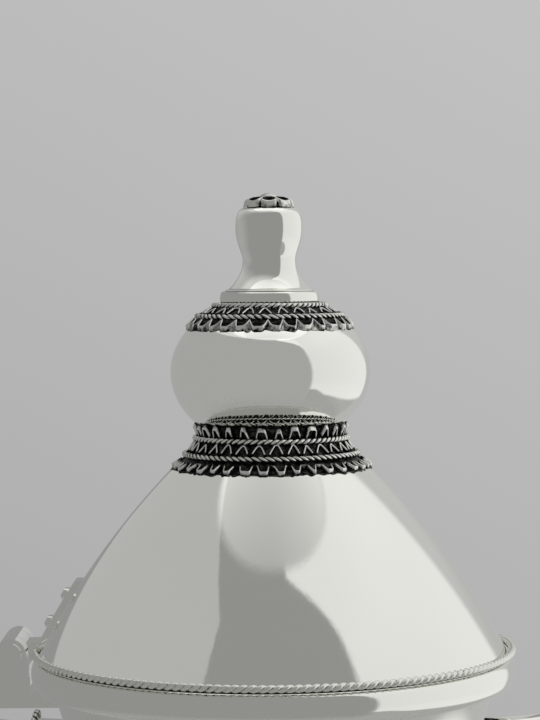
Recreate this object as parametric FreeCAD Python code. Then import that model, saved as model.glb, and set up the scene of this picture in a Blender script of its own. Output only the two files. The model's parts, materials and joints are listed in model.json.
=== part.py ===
"""Silver dallah: a footed coffee pot with a beak spout, a loop handle and a hinged, domed lid.

Millimetres, +Z up, origin at the centre of the foot's resting face, +X towards the spout.
The lid carries a hollow ball between two filigree collars, a turned knob and a rosette.
"""

import FreeCAD
import Part
import math
import os

Vector = FreeCAD.Vector
UP = Vector(0, 0, 1)
ACROSS = Vector(0, 1, 0)

# Sheet, solder and running gaps
WALL = 1.2
SOLDER_GAP = 0.06
RUNNING_GAP = 0.05
LID_GAP = 0.3

# Foot and base plate
FOOT_HEIGHT = 8.4
FOOT_RADIUS = 50.5
FOOT_TREAD = 2.4
FOOT_SHOULDER_RADIUS = 48.4
FOOT_WALL = 4.0
FOOT_LEDGE_WIDTH = 3.0
FOOT_LEDGE_THICKNESS = 2.0
BASE_PLATE_THICKNESS = 1.6
BASE_PLATE_LEDGE = 1.4
FOOT_LIP_WIDTH = 2.2

# Bowl: base edge, belly and waist
BOWL_BASE_RADIUS = 42.0
BELLY_RADIUS = 70.0
BELLY_RISE = 42.0
THROAT_RING_RISE = 22.0
WAIST_RADIUS = 36.0
SHOULDER_RISE = 80.0

# Neck and mouth
NECK_RISE = 66.0
MOUTH_RADIUS = 46.0
MOUTH_FLARE = 6.0
MOUTH_FLARE_RISE = 13.0
RIM_CAP = 2.0
RIM_DEPTH = 6.0
RIM_OVERHANG = 2.5
RIM_ROUND = 1.5

# Filigree: twisted wire and flat strip set on edge
ROPE_RADIUS = 0.5
HEAVY_ROPE_RADIUS = 0.75
STRIP_THICKNESS = 0.34
STRIP_DEPTH = 0.8
LOW_STRIP_DEPTH = 0.45
BACKING = 0.3

# Waist collar
WAIST_SLEEVE_HEIGHT = 11.0
WAIST_SLEEVE_GAP = 0.6
WAIST_EDGE_ROW = 3.6
WAIST_ZIGZAGS = 56
WAIST_SCALLOPS = 64

# Foot scallops
FOOT_SCALLOPS = 80

# Lid dome: arc from the rim to the collar's skirt, and on to a flat crown
LID_RADIUS = 47.0
SKIRT_RADIUS = 20.2
DOME_RISE = 37.0
DOME_ARC_RADIUS = 159.0
CROWN_GAP = 0.25
BEZEL_DEPTH = 4.0
BEZEL_WALL = 1.2
BEZEL_FLANGE = 1.0
BEZEL_CLEARANCE = 0.7

# Lower collar: skirt on the dome, throat, and the calyx that cups the ball
COLLAR_RISE = 6.8
COLLAR_TAPER = 6.3
CALYX_RISE = 2.5
CALYX_FLARE = 1.15
CALYX_DEPTH = 0.5
COLLAR_STEP_RISE = 0.3
COLLAR_FLARE_RISE = 2.2
COLLAR_FLARE_INSET = 3.0
COLLAR_FOOT_INSET = 0.8
SKIRT_ROPE_RISE = 2.8
LOWER_ZIGZAGS = 31
LOWER_SCALLOPS = 36
CALYX_POINTS = 28

# Ball between the collars
BALL_RADIUS = 20.0
BALL_HALF_HEIGHT = 15.3
BALL_WALL = 1.0

# Upper collar on the ball
UPPER_SKIRT_RADIUS = 16.35
UPPER_ROPE_RADIUS = 11.25
UPPER_MIDDLE_RADIUS = 14.4
UPPER_ZIGZAGS = 25
UPPER_SCALLOPS = 31

# Disc, knob and rosette
DISC_RADIUS = 10.0
DISC_HEIGHT = 2.4
DISC_EDGE = 0.5
KNOB_BASE_RADIUS = 9.0
KNOB_NECK_RADIUS = 5.25
KNOB_HEAD_RADIUS = 6.9
KNOB_NECK_RISE = 6.2
KNOB_HEAD_RISE = 5.8
KNOB_TOP_RISE = 4.7
KNOB_TOP_RADIUS = 4.9
PETALS = 8
PETAL_LENGTH = 3.9
PETAL_WIDTH = 3.1
PETAL_HEIGHT = 1.35
PETAL_WALL = 0.34
PETAL_TILT = 19.0
PETAL_LEAN = 12.0
PETAL_OVERHANG = 0.25
BEAD_RADIUS = 0.7

# Tie stud that holds the finial to the lid
STUD_RADIUS = 2.0
STUD_IN_KNOB = 9.0
NUT_ACROSS_FLATS = 7.0
NUT_HEIGHT = 3.2
WASHER_RADIUS = 5.0
WASHER_THICKNESS = 0.8
STUD_TAIL = 1.5

# Hinge at the back of the mouth
KNUCKLE_RADIUS = 3.0
PIN_RADIUS = 1.5
HINGE_HALF_WIDTH = 9.0
LID_KNUCKLE_HALF = 4.0
KNUCKLE_GAP = 0.25
HINGE_STANDOFF = 0.4
HINGE_RISE = 1.4
BRACKET_DROP = 9.0
PIN_HEAD_RADIUS = 2.2
PIN_HEAD = 1.0
STRAP_HEIGHT = 15.0
STRAP_THICKNESS = 1.2
STRAP_CLEARANCE = 0.3
RIVET_RADIUS = 0.9
RIVET_HEAD_RADIUS = 1.5
RIVET_HEAD = 0.8
RIVET_HEIGHTS = (6.0, 11.5)

# Spout: ellipses along a curved centre line, cut open along the top of the beak
SPOUT_START = 6.0
SPOUT_REACH = 86.0
SPOUT_ROOT_DROP = 33.0
SPOUT_TIP_DROP = 7.0
SPOUT_ROOT_HALF_HEIGHT = 21.0
SPOUT_ROOT_HALF_WIDTH = 12.5
SPOUT_TIP_HALF_HEIGHT = 3.4
SPOUT_TIP_HALF_WIDTH = 3.0
SPOUT_WALL = 1.2
SPOUT_SECTIONS = 9
SPOUT_ROPE_AT = 0.3
BEAK_OPEN_FROM = 0.56

# Handle: ellipses along a curved centre line, held in two sockets
HANDLE_TOP_DROP = 19.0
HANDLE_TOP_OUT = 9.5
HANDLE_FOOT_RISE = 18.0
HANDLE_FOOT_OUT = 9.5
HANDLE_TOP_PULL = 58.0
HANDLE_TOP_LIFT = 14.0
HANDLE_FOOT_PULL = 56.0
HANDLE_FOOT_LIFT = 10.0
HANDLE_END_HALF = 5.2
HANDLE_MIDDLE_HALF_WIDTH = 7.2
HANDLE_MIDDLE_HALF_DEPTH = 5.6
HANDLE_SECTIONS = 9
TENON_RADIUS = 3.6
TENON_LENGTH = 7.0
SOCKET_MOUTH_RADIUS = 6.6
SOCKET_ROOT_RADIUS = 9.4
SOCKET_LENGTH = 16.0
SOCKET_PIN_RADIUS = 1.1
SOCKET_PIN_PROUD = 0.5

# Heights and seats that follow from the sizes above
BOWL_Z = FOOT_HEIGHT + BASE_PLATE_THICKNESS
BELLY_Z = BOWL_Z + BELLY_RISE
SEAM_Z = BELLY_Z + SHOULDER_RISE
NECK_TOP_Z = SEAM_Z + NECK_RISE
SEAT_Z = NECK_TOP_Z + RIM_CAP
RIM_RADIUS = MOUTH_RADIUS + RIM_OVERHANG
LID_Z = SEAT_Z + LID_GAP
SKIRT_Z = LID_Z + DOME_RISE
THROAT_Z = SKIRT_Z + COLLAR_RISE
THROAT_RADIUS = SKIRT_RADIUS - COLLAR_TAPER
CALYX_Z = THROAT_Z + CALYX_RISE
CALYX_RADIUS = THROAT_RADIUS + CALYX_FLARE
BALL_Z = CALYX_Z + BALL_HALF_HEIGHT * math.sqrt(1 - (CALYX_RADIUS / BALL_RADIUS) ** 2)
CROWN_Z = BALL_Z - BALL_HALF_HEIGHT - CROWN_GAP
BALL_SEAT_RADIUS = DISC_RADIUS - 2 * DISC_EDGE
HINGE_X = -(RIM_RADIUS + KNUCKLE_RADIUS + HINGE_STANDOFF)
HINGE_Z = LID_Z + HINGE_RISE


def ball_height(radius):
    """Height of the ball's upper surface at a radius."""
    return BALL_Z + BALL_HALF_HEIGHT * math.sqrt(1 - (radius / BALL_RADIUS) ** 2)


DISC_Z = ball_height(BALL_SEAT_RADIUS) + SOLDER_GAP
KNOB_Z = DISC_Z + DISC_HEIGHT
KNOB_TOP_Z = KNOB_Z + KNOB_NECK_RISE + KNOB_HEAD_RISE + KNOB_TOP_RISE


def at(radius, height):
    """Point in the X-Z half plane that is turned about the axis."""
    return Vector(radius, 0, height)


def line(a, b):
    """Straight edge between two points."""
    return Part.LineSegment(a, b).toShape()


def bezier(points):
    """Bezier edge through the given poles."""
    curve = Part.BezierCurve()
    curve.setPoles(points)
    return curve.toShape()


def turned(edges, angle=360.0):
    """Solid made by turning a closed outline about the Z axis."""
    return Part.Face(Part.Wire(edges)).revolve(Vector(0, 0, 0), UP, angle)


def turned_polygon(points):
    """Solid made by turning a closed polygon of (radius, height) corners."""
    corners = [at(r, z) for r, z in points]
    return turned([line(a, b) for a, b in zip(corners, corners[1:] + corners[:1])])


def arc_through(a, b, radius):
    """Arc of a circle between two points of the half plane, bulging up and away from the axis."""
    chord = b.sub(a)
    half = chord.Length / 2
    sagitta = radius - math.sqrt(radius ** 2 - half ** 2)
    outward = Vector(chord.z, 0, -chord.x).normalize()
    middle = a.add(b).multiply(0.5).add(outward.multiply(sagitta))
    return Part.Arc(a, middle, b).toShape()


def cylinder(start, direction, radius, length):
    """Round bar from a point along a direction."""
    return Part.makeCylinder(radius, length, start, direction)


def torus(radius, height, wire_radius):
    """Ring of round wire about the Z axis."""
    return Part.makeTorus(radius, wire_radius, Vector(0, 0, height))


def bowl_outlines(inset):
    """Lower and upper Bezier poles of the bowl's wall, moved in by inset."""
    base_angle = math.atan2(9.0, 15.0)
    base = BOWL_BASE_RADIUS - inset / math.sin(base_angle)
    belly = BELLY_RADIUS - inset
    waist = WAIST_RADIUS - inset
    lower = [
        at(base, BOWL_Z),
        at(base + 15.0, BOWL_Z + 9.0),
        at(belly, BELLY_Z - 0.48 * BELLY_RISE),
        at(belly, BELLY_Z),
    ]
    upper = [
        at(belly, BELLY_Z),
        at(belly, BELLY_Z + 0.42 * SHOULDER_RISE),
        at(waist, SEAM_Z - 0.45 * SHOULDER_RISE),
        at(waist, SEAM_Z),
    ]
    return lower, upper


def neck_outline(inset):
    """Bezier poles of the neck's wall from the seam to the mouth, moved in by inset."""
    waist = WAIST_RADIUS - inset
    mouth = MOUTH_RADIUS - inset
    return [
        at(waist, SEAM_Z),
        at(waist, SEAM_Z + 0.42 * NECK_RISE),
        at(mouth - MOUTH_FLARE, NECK_TOP_Z - MOUTH_FLARE_RISE),
        at(mouth, NECK_TOP_Z),
    ]


def filled_bowl(inset):
    """The bowl's wall outline turned as a solid block."""
    lower, upper = bowl_outlines(inset)
    edges = [
        line(at(0, BOWL_Z), lower[0]),
        bezier(lower),
        bezier(upper),
        line(upper[-1], at(0, SEAM_Z)),
        line(at(0, SEAM_Z), at(0, BOWL_Z)),
    ]
    return turned(edges)


def filled_neck(inset):
    """The neck's wall outline turned as a solid block."""
    poles = neck_outline(inset)
    edges = [
        line(at(0, SEAM_Z), poles[0]),
        bezier(poles),
        line(poles[-1], at(0, NECK_TOP_Z)),
        line(at(0, NECK_TOP_Z), at(0, SEAM_Z)),
    ]
    return turned(edges)


def bowl_radius(height):
    """Outer radius of the bowl above its belly, by bisection along the Bezier."""
    return outline_radius(bowl_outlines(0.0)[1], height)


def neck_radius(height, inset=0.0):
    """Radius of the neck's wall at a height, by bisection along the Bezier."""
    return outline_radius(neck_outline(inset), height)


def outline_radius(poles, height):
    """Radius at a height on a Bezier that climbs from its first pole to its last."""
    curve = Part.BezierCurve()
    curve.setPoles(poles)
    low, high = 0.0, 1.0
    for _ in range(50):
        middle = (low + high) / 2
        if curve.value(middle).z < height:
            low = middle
        else:
            high = middle
    return curve.value(low).x


def dome_centre():
    """Centre of the dome's arc in the half plane."""
    rim = at(LID_RADIUS, LID_Z)
    skirt = at(SKIRT_RADIUS, SKIRT_Z)
    chord = skirt.sub(rim)
    half = chord.Length / 2
    inward = Vector(-chord.z, 0, chord.x).normalize()
    apothem = math.sqrt(DOME_ARC_RADIUS ** 2 - half ** 2)
    return rim.add(skirt).multiply(0.5).add(inward.multiply(apothem))


def dome_radius(height, offset=0.0):
    """Radius of the dome's surface, moved out by offset, at a height."""
    centre = dome_centre()
    return centre.x + math.sqrt((DOME_ARC_RADIUS + offset) ** 2 - (height - centre.z) ** 2)


def filled_dome(offset, bottom, top):
    """The dome's outline between two heights, moved out by offset, turned as a solid block."""
    low = at(dome_radius(bottom, offset), bottom)
    high = at(dome_radius(top, offset), top)
    edges = [
        line(at(0, bottom), low),
        arc_through(low, high, DOME_ARC_RADIUS + offset),
        line(high, at(0, top)),
        line(at(0, top), at(0, bottom)),
    ]
    return turned(edges)


def collar_line(share):
    """(radius, height) on the lower collar's outer face, from its flare at 0 to its throat at 1."""
    low_radius = SKIRT_RADIUS - COLLAR_FLARE_INSET
    low = SKIRT_Z + COLLAR_FLARE_RISE
    radius = low_radius + share * (THROAT_RADIUS + BACKING - low_radius)
    return radius, low + share * (THROAT_Z - low)


def collar_foot():
    """(radius, height) of the lower collar's outer edge, just above the dome's ledge."""
    return SKIRT_RADIUS - COLLAR_FOOT_INSET, SKIRT_Z + COLLAR_STEP_RISE + SOLDER_GAP


def collar_inside(height, inset):
    """Radius at a height of the cone that lies inset behind the lower collar's outer face."""
    low = collar_line(0.0)
    high = collar_line(1.0)
    slope = (high[0] - low[0]) / (high[1] - low[1])
    return low[0] + slope * (height - low[1]) - inset * math.hypot(1, slope)


def filled_lid(inset, bottom):
    """The lid's outline moved in by inset, turned as a block: dome, ledge, collar seat and flat crown."""
    step = SKIRT_Z + COLLAR_STEP_RISE - inset
    crown = CROWN_Z - inset
    behind = BACKING + SOLDER_GAP + inset
    low = at(dome_radius(bottom, -inset), bottom)
    high = at(dome_radius(step, -inset), step)
    seat_foot = at(collar_inside(step + inset, behind), step)
    seat_top = at(collar_inside(crown + inset, behind), crown)
    edges = [
        line(at(0, bottom), low),
        arc_through(low, high, DOME_ARC_RADIUS - inset),
        line(high, seat_foot),
        line(seat_foot, seat_top),
        line(seat_top, at(0, crown)),
        line(at(0, crown), at(0, bottom)),
    ]
    return turned(edges)


def filled_ball(inset):
    """The ball as a solid ellipsoid, moved in by inset; circular constant for a quarter ellipse."""
    k = 4.0 / 3.0 * (math.sqrt(2) - 1)
    a = BALL_RADIUS - inset
    b = BALL_HALF_HEIGHT - inset
    quarters = [
        [at(0, BALL_Z - b), at(k * a, BALL_Z - b), at(a, BALL_Z - k * b), at(a, BALL_Z)],
        [at(a, BALL_Z), at(a, BALL_Z + k * b), at(k * a, BALL_Z + b), at(0, BALL_Z + b)],
    ]
    edges = [bezier(q) for q in quarters]
    return turned(edges + [line(at(0, BALL_Z + b), at(0, BALL_Z - b))])


def slab(bottom, top):
    """Wide block between two heights, for trimming turned shapes."""
    size = 4 * BELLY_RADIUS
    return Part.makeBox(size, size, top - bottom, Vector(-size / 2, -size / 2, bottom))


def zigzag(phase):
    """Share of the row's height, from the top edge, of a plain zigzag with its peak at mid period."""
    return abs(1 - 2 * phase)


def scallop(phase):
    """Share of the row's height, from the top edge, of a lobe that hangs between two cusps."""
    return math.sin(math.pi * phase) ** 0.7


def crown_point(phase):
    """The scallop turned upside down, for a row that stands up from its lower edge."""
    return 1 - scallop(phase)


def strip_ring(top, bottom, count, shape, steps, depth=STRIP_DEPTH):
    """Closed band of flat strip set on edge on a cone, waved count times round the axis.

    top and bottom are (radius, height) ends of the cone's line. Each section is a small rectangle:
    STRIP_THICKNESS wide along the cone, depth deep along the cone's outward normal.
    """
    slant = Vector(bottom[0] - top[0], 0, bottom[1] - top[1])
    normal_r = -slant.z / slant.Length
    normal_z = slant.x / slant.Length
    total = count * steps

    def place(i):
        share = shape((i % steps) / steps)
        angle = 2 * math.pi * i / total
        radius = top[0] + share * slant.x
        return Vector(radius * math.cos(angle), radius * math.sin(angle), top[1] + share * slant.z)

    points = []
    for i in range(total):
        here = place(i)
        before = here.sub(place(i - 1)).normalize()
        after = place(i + 1).sub(here).normalize()
        angle = 2 * math.pi * i / total
        normal = Vector(normal_r * math.cos(angle), normal_r * math.sin(angle), normal_z)
        along = before.add(after).normalize()
        mitre = min(1.7, 1 / max(0.2, along.dot(after)))
        side = along.cross(normal).normalize().multiply(STRIP_THICKNESS / 2 * mitre)
        lift = Vector(normal).multiply(depth)
        points += [here.sub(side), here.add(side), here.add(side).add(lift), here.sub(side).add(lift)]
    facets = []
    for i in range(total):
        a, b = 4 * i, 4 * ((i + 1) % total)
        for j in range(4):
            k = (j + 1) % 4
            facets += [(a + j, b + j, b + k), (a + j, b + k, a + k)]
    skin = Part.Shape()
    skin.makeShapeFromMesh((points, facets), 0.0005)
    solid = Part.makeSolid(skin)
    if solid.Volume < 0:
        solid.reverse()
    return solid


def foot_ring():
    """Flared ring the pot stands on, with a ledge for the base plate and a lip around it."""
    plate = BOWL_BASE_RADIUS + BASE_PLATE_LEDGE
    lip_inner = plate + SOLDER_GAP
    lip_outer = lip_inner + FOOT_LIP_WIDTH
    ledge = plate - FOOT_LEDGE_WIDTH
    inner = FOOT_RADIUS - FOOT_WALL
    return turned_polygon(
        [
            (inner, 0),
            (FOOT_RADIUS, 0),
            (FOOT_RADIUS, FOOT_TREAD),
            (FOOT_SHOULDER_RADIUS, FOOT_HEIGHT),
            (lip_outer, FOOT_HEIGHT),
            (lip_outer, BOWL_Z),
            (lip_inner, BOWL_Z),
            (lip_inner, FOOT_HEIGHT),
            (ledge, FOOT_HEIGHT),
            (ledge, FOOT_HEIGHT - FOOT_LEDGE_THICKNESS),
            (inner, FOOT_HEIGHT - FOOT_LEDGE_THICKNESS),
        ]
    )


def foot_rope():
    """Twisted wire lying on the foot's shoulder against its lip."""
    lip_outer = BOWL_BASE_RADIUS + BASE_PLATE_LEDGE + SOLDER_GAP + FOOT_LIP_WIDTH
    radius = lip_outer + HEAVY_ROPE_RADIUS + SOLDER_GAP
    return torus(radius, FOOT_HEIGHT + HEAVY_ROPE_RADIUS + SOLDER_GAP, HEAVY_ROPE_RADIUS)


def foot_scallops():
    """Row of hanging lobes on the foot's sloping side."""
    slope = (FOOT_RADIUS - FOOT_SHOULDER_RADIUS) / (FOOT_HEIGHT - FOOT_TREAD)
    margin = STRIP_THICKNESS
    top = FOOT_HEIGHT - margin
    bottom = FOOT_TREAD + margin
    lift = 2 * SOLDER_GAP
    return strip_ring(
        (FOOT_SHOULDER_RADIUS + slope * margin + lift, top),
        (FOOT_RADIUS - slope * margin + lift, bottom),
        FOOT_SCALLOPS,
        scallop,
        4,
    )


def base_plate():
    """Flat disc that closes the bowl, held between the foot's ledge and the bowl's edge."""
    radius = BOWL_BASE_RADIUS + BASE_PLATE_LEDGE
    return cylinder(Vector(0, 0, FOOT_HEIGHT), UP, radius, BASE_PLATE_THICKNESS)


def bowl_shell():
    """Wall of the whole bowl, from the base plate to the seam at the waist."""
    return filled_bowl(0.0).cut(filled_bowl(WALL))


def body_bowl():
    """Raised cup below the solder seam round the belly."""
    return bowl_shell().common(slab(BOWL_Z, BELLY_Z))


def body_shoulder():
    """Raised shoulder from the belly's seam in to the throat ring."""
    return bowl_shell().common(slab(BELLY_Z, SEAM_Z - THROAT_RING_RISE))


def body_throat():
    """Narrow throat ring between the shoulder and the seam at the waist."""
    return bowl_shell().common(slab(SEAM_Z - THROAT_RING_RISE, SEAM_Z))


def body_neck():
    """Upper shell, from the seam to the mouth, with the spout's opening cut through it."""
    return filled_neck(0.0).cut(filled_neck(WALL)).cut(spout_loft(SPOUT_WALL))


def mouth_rim():
    """Cap ring on the neck's edge, with a rounded outer lip."""
    inner = MOUTH_RADIUS - WALL
    under = neck_radius(NECK_TOP_Z) + SOLDER_GAP
    bottom = SEAT_Z - RIM_DEPTH
    edge = RIM_RADIUS - RIM_ROUND
    swell = at(RIM_RADIUS, (SEAT_Z + bottom) / 2)
    edges = [
        line(at(inner, NECK_TOP_Z), at(under, NECK_TOP_Z)),
        line(at(under, NECK_TOP_Z), at(under, bottom)),
        line(at(under, bottom), at(edge, bottom)),
        Part.Arc(at(edge, bottom), swell, at(edge, SEAT_Z)).toShape(),
        line(at(edge, SEAT_Z), at(inner, SEAT_Z)),
        line(at(inner, SEAT_Z), at(inner, NECK_TOP_Z)),
    ]
    return turned(edges)


def waist_sleeve():
    """Dark backing sleeve that hides the solder seam between bowl and neck."""
    inner = WAIST_RADIUS + WAIST_SLEEVE_GAP
    half = WAIST_SLEEVE_HEIGHT / 2
    outer = inner + BACKING
    return turned_polygon(
        [(inner, SEAM_Z - half), (outer, SEAM_Z - half), (outer, SEAM_Z + half), (inner, SEAM_Z + half)]
    )


def waist_face():
    """Radius of the sleeve's outer face."""
    return WAIST_RADIUS + WAIST_SLEEVE_GAP + BACKING


def waist_rope(side):
    """Twisted wire round one edge of the sleeve; side is 1 above and -1 below."""
    height = SEAM_Z + side * (WAIST_SLEEVE_HEIGHT / 2 - HEAVY_ROPE_RADIUS)
    return torus(waist_face() + HEAVY_ROPE_RADIUS + SOLDER_GAP, height, HEAVY_ROPE_RADIUS)


def waist_zigzag():
    """Zigzag strip between the sleeve's two ropes."""
    half = WAIST_SLEEVE_HEIGHT / 2 - 2 * HEAVY_ROPE_RADIUS - STRIP_THICKNESS
    radius = waist_face() + SOLDER_GAP
    return strip_ring((radius, SEAM_Z + half), (radius, SEAM_Z - half), WAIST_ZIGZAGS, zigzag, 2)


def waist_points():
    """Row of lobes that stands up from the sleeve onto the neck."""
    bottom = SEAM_Z + WAIST_SLEEVE_HEIGHT / 2 + STRIP_THICKNESS
    top = bottom + WAIST_EDGE_ROW
    lift = WAIST_SLEEVE_GAP / 2
    return strip_ring(
        (neck_radius(top) + lift, top), (neck_radius(bottom) + lift, bottom), WAIST_SCALLOPS, crown_point, 4
    )


def waist_scallops():
    """Row of lobes that hangs from the sleeve onto the bowl."""
    top = SEAM_Z - WAIST_SLEEVE_HEIGHT / 2 - STRIP_THICKNESS
    bottom = top - WAIST_EDGE_ROW
    lift = WAIST_SLEEVE_GAP / 2
    return strip_ring(
        (bowl_radius(top) + lift, top), (bowl_radius(bottom) + lift, bottom), WAIST_SCALLOPS, scallop, 4
    )


def spout_pole(i):
    """Poles of the spout's centre line, from inside the neck to the tip of the beak."""
    start = WAIST_RADIUS - SPOUT_START
    tip = MOUTH_RADIUS + SPOUT_REACH
    root_z = SEAT_Z - SPOUT_ROOT_DROP
    tip_z = SEAT_Z - SPOUT_TIP_DROP
    reach = tip - start
    poles = [
        at(start, root_z),
        at(start + 0.42 * reach, root_z + 0.12 * SPOUT_ROOT_DROP),
        at(start + 0.66 * reach, tip_z + 0.30 * SPOUT_ROOT_DROP),
        at(tip, tip_z),
    ]
    return poles[i]


def bezier_point(poles, t):
    """Point and unit tangent of a cubic Bezier."""
    curve = Part.BezierCurve()
    curve.setPoles(poles)
    return curve.value(t), curve.tangent(t)[0]


def spout_frame(t):
    """Centre, tangent and in-plane upward normal of the spout's section at a share of its length."""
    centre, tangent = bezier_point([spout_pole(i) for i in range(4)], t)
    return centre, tangent, Vector(-tangent.z, 0, tangent.x)


def spout_half_sizes(t, inset):
    """Half height and half width of the spout's section: root size easing down to tip size."""
    ease = (1 - t) ** 1.6
    height = SPOUT_TIP_HALF_HEIGHT + (SPOUT_ROOT_HALF_HEIGHT - SPOUT_TIP_HALF_HEIGHT) * ease
    width = SPOUT_TIP_HALF_WIDTH + (SPOUT_ROOT_HALF_WIDTH - SPOUT_TIP_HALF_WIDTH) * ease
    return height - inset, width - inset


def spout_loft(inset):
    """Tapering elliptical horn along the spout's centre line, moved in by inset."""
    wires = []
    for i in range(SPOUT_SECTIONS):
        t = i / (SPOUT_SECTIONS - 1)
        centre, _, up = spout_frame(t)
        height, width = spout_half_sizes(t, inset)
        tall = centre.add(Vector(up).multiply(height))
        wide = centre.add(Vector(ACROSS).multiply(width))
        wires.append(Part.Wire(Part.Ellipse(tall, wide, centre).toShape()))
    return Part.makeLoft(wires, True, False)


def beak_cutter():
    """Block above the sloping plane that opens the top of the beak."""
    centre, _, up = spout_frame(BEAK_OPEN_FROM)
    height, width = spout_half_sizes(BEAK_OPEN_FROM, 0.0)
    start = centre.add(Vector(up).multiply(height))
    tip, tangent, _ = spout_frame(1.0)
    end = tip.add(Vector(tangent).multiply(SPOUT_TIP_HALF_HEIGHT))
    run = end.sub(start)
    top = start.z + 4 * SPOUT_ROOT_HALF_HEIGHT
    corners = [start, end, Vector(end.x, 0, top), Vector(start.x, 0, top)]
    corners = [c.sub(Vector(0, 2 * width, 0)) for c in corners]
    if run.Length == 0:
        raise ValueError("the beak has no length")
    return Part.Face(Part.makePolygon(corners + corners[:1])).extrude(Vector(0, 4 * width, 0))


def spout_shell():
    """Hollow beak spout, fitted to the neck's outside and open along its upper tip."""
    shell = spout_loft(0.0).cut(spout_loft(SPOUT_WALL)).cut(beak_cutter())
    return shell.cut(filled_neck(-SOLDER_GAP))


def spout_rope():
    """Twisted wire round the spout near its root."""
    centre, tangent, up = spout_frame(SPOUT_ROPE_AT)
    lift = HEAVY_ROPE_RADIUS + SOLDER_GAP
    height, width = spout_half_sizes(SPOUT_ROPE_AT, -lift)
    tall = centre.add(Vector(up).multiply(height))
    wide = centre.add(Vector(ACROSS).multiply(width))
    path = Part.Wire(Part.Ellipse(tall, wide, centre).toShape())
    section = Part.Wire(Part.makeCircle(HEAVY_ROPE_RADIUS, tall, ACROSS))
    ring = path.makePipeShell([section], True, True)
    return ring.cut(spout_loft(-SOLDER_GAP))


def handle_poles():
    """Poles of the handle's centre line, from the upper socket's mouth to the lower one's."""
    top_z = SEAT_Z - HANDLE_TOP_DROP
    top = at(-(neck_radius(top_z) + HANDLE_TOP_OUT), top_z)
    foot_z = BELLY_Z + HANDLE_FOOT_RISE
    foot = at(-(bowl_radius(foot_z) + HANDLE_FOOT_OUT), foot_z)
    return [
        top,
        top.add(Vector(-HANDLE_TOP_PULL, 0, HANDLE_TOP_LIFT)),
        foot.add(Vector(-HANDLE_FOOT_PULL, 0, HANDLE_FOOT_LIFT)),
        foot,
    ]


def handle_ends():
    """Mouth point and direction into the handle of the upper and the lower socket."""
    poles = handle_poles()
    top_way = poles[1].sub(poles[0]).normalize()
    foot_way = poles[2].sub(poles[3]).normalize()
    return (poles[0], top_way), (poles[3], foot_way)


def socket_pin(mouth, way, clearance, length):
    """Round pin across a socket, through the middle of its tenon."""
    centre = mouth.sub(Vector(way).multiply(TENON_LENGTH / 2))
    start = centre.sub(Vector(ACROSS).multiply(length / 2))
    return cylinder(start, ACROSS, SOCKET_PIN_RADIUS + clearance, length)


def socket_pin_length():
    """Length of a socket pin, a little proud of the socket on both sides."""
    taper = (SOCKET_ROOT_RADIUS - SOCKET_MOUTH_RADIUS) / SOCKET_LENGTH
    return 2 * (SOCKET_MOUTH_RADIUS + taper * TENON_LENGTH / 2 + SOCKET_PIN_PROUD)


def handle_grip():
    """Curved grip, oval in section, with a round tenon at each end."""
    poles = handle_poles()
    wires = []
    for i in range(HANDLE_SECTIONS):
        t = i / (HANDLE_SECTIONS - 1)
        centre, tangent = bezier_point(poles, t)
        side = Vector(-tangent.z, 0, tangent.x)
        swell = math.sin(math.pi * t)
        wide = HANDLE_END_HALF + (HANDLE_MIDDLE_HALF_WIDTH - HANDLE_END_HALF) * swell
        deep = HANDLE_END_HALF + (HANDLE_MIDDLE_HALF_DEPTH - HANDLE_END_HALF) * swell
        major = centre.add(Vector(ACROSS).multiply(max(wide, deep + 0.01)))
        minor = centre.add(side.multiply(deep))
        wires.append(Part.Wire(Part.Ellipse(major, minor, centre).toShape()))
    grip = Part.makeLoft(wires, True, False)
    for mouth, way in handle_ends():
        tenon = cylinder(mouth.sub(Vector(way).multiply(TENON_LENGTH)), way, TENON_RADIUS, TENON_LENGTH + 1)
        grip = grip.fuse(tenon).cut(socket_pin(mouth, way, RUNNING_GAP, 4 * TENON_RADIUS))
    return grip.removeSplitter()


def handle_socket(mouth, way, wall):
    """Tapered cup from the pot's wall to the handle's end, bored for the tenon and its pin."""
    start = mouth.sub(Vector(way).multiply(SOCKET_LENGTH))
    cup = Part.makeCone(SOCKET_ROOT_RADIUS, SOCKET_MOUTH_RADIUS, SOCKET_LENGTH, start, way)
    bore_length = TENON_LENGTH + SOLDER_GAP
    bore = cylinder(
        mouth.sub(Vector(way).multiply(bore_length)), way, TENON_RADIUS + RUNNING_GAP, bore_length + 1
    )
    pin = socket_pin(mouth, way, RUNNING_GAP, 4 * SOCKET_ROOT_RADIUS)
    return cup.cut(bore).cut(pin).cut(wall)


def handle_upper_socket():
    """Socket soldered to the neck below the hinge."""
    mouth, way = handle_ends()[0]
    return handle_socket(mouth, way, filled_neck(-SOLDER_GAP))


def handle_lower_socket():
    """Socket soldered to the bowl above its belly."""
    mouth, way = handle_ends()[1]
    return handle_socket(mouth, way, filled_bowl(-SOLDER_GAP))


def handle_pins():
    """The two cross pins that hold the tenons in their sockets."""
    pins = [socket_pin(mouth, way, 0.0, socket_pin_length()) for mouth, way in handle_ends()]
    return Part.makeCompound(pins)


def handle_rope(mouth, way):
    """Twisted wire round a socket's mouth."""
    taper = (SOCKET_ROOT_RADIUS - SOCKET_MOUTH_RADIUS) / SOCKET_LENGTH
    centre = mouth.sub(Vector(way).multiply(HEAVY_ROPE_RADIUS))
    radius = SOCKET_MOUTH_RADIUS + 2 * taper * HEAVY_ROPE_RADIUS + HEAVY_ROPE_RADIUS + SOLDER_GAP
    return Part.makeTorus(radius, HEAVY_ROPE_RADIUS, centre, way)


def hinge_bar(radius, half_width, offset=0.0):
    """Round bar along the hinge axis, centred offset to one side."""
    return cylinder(Vector(HINGE_X, offset - half_width, HINGE_Z), ACROSS, radius, 2 * half_width)


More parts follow.
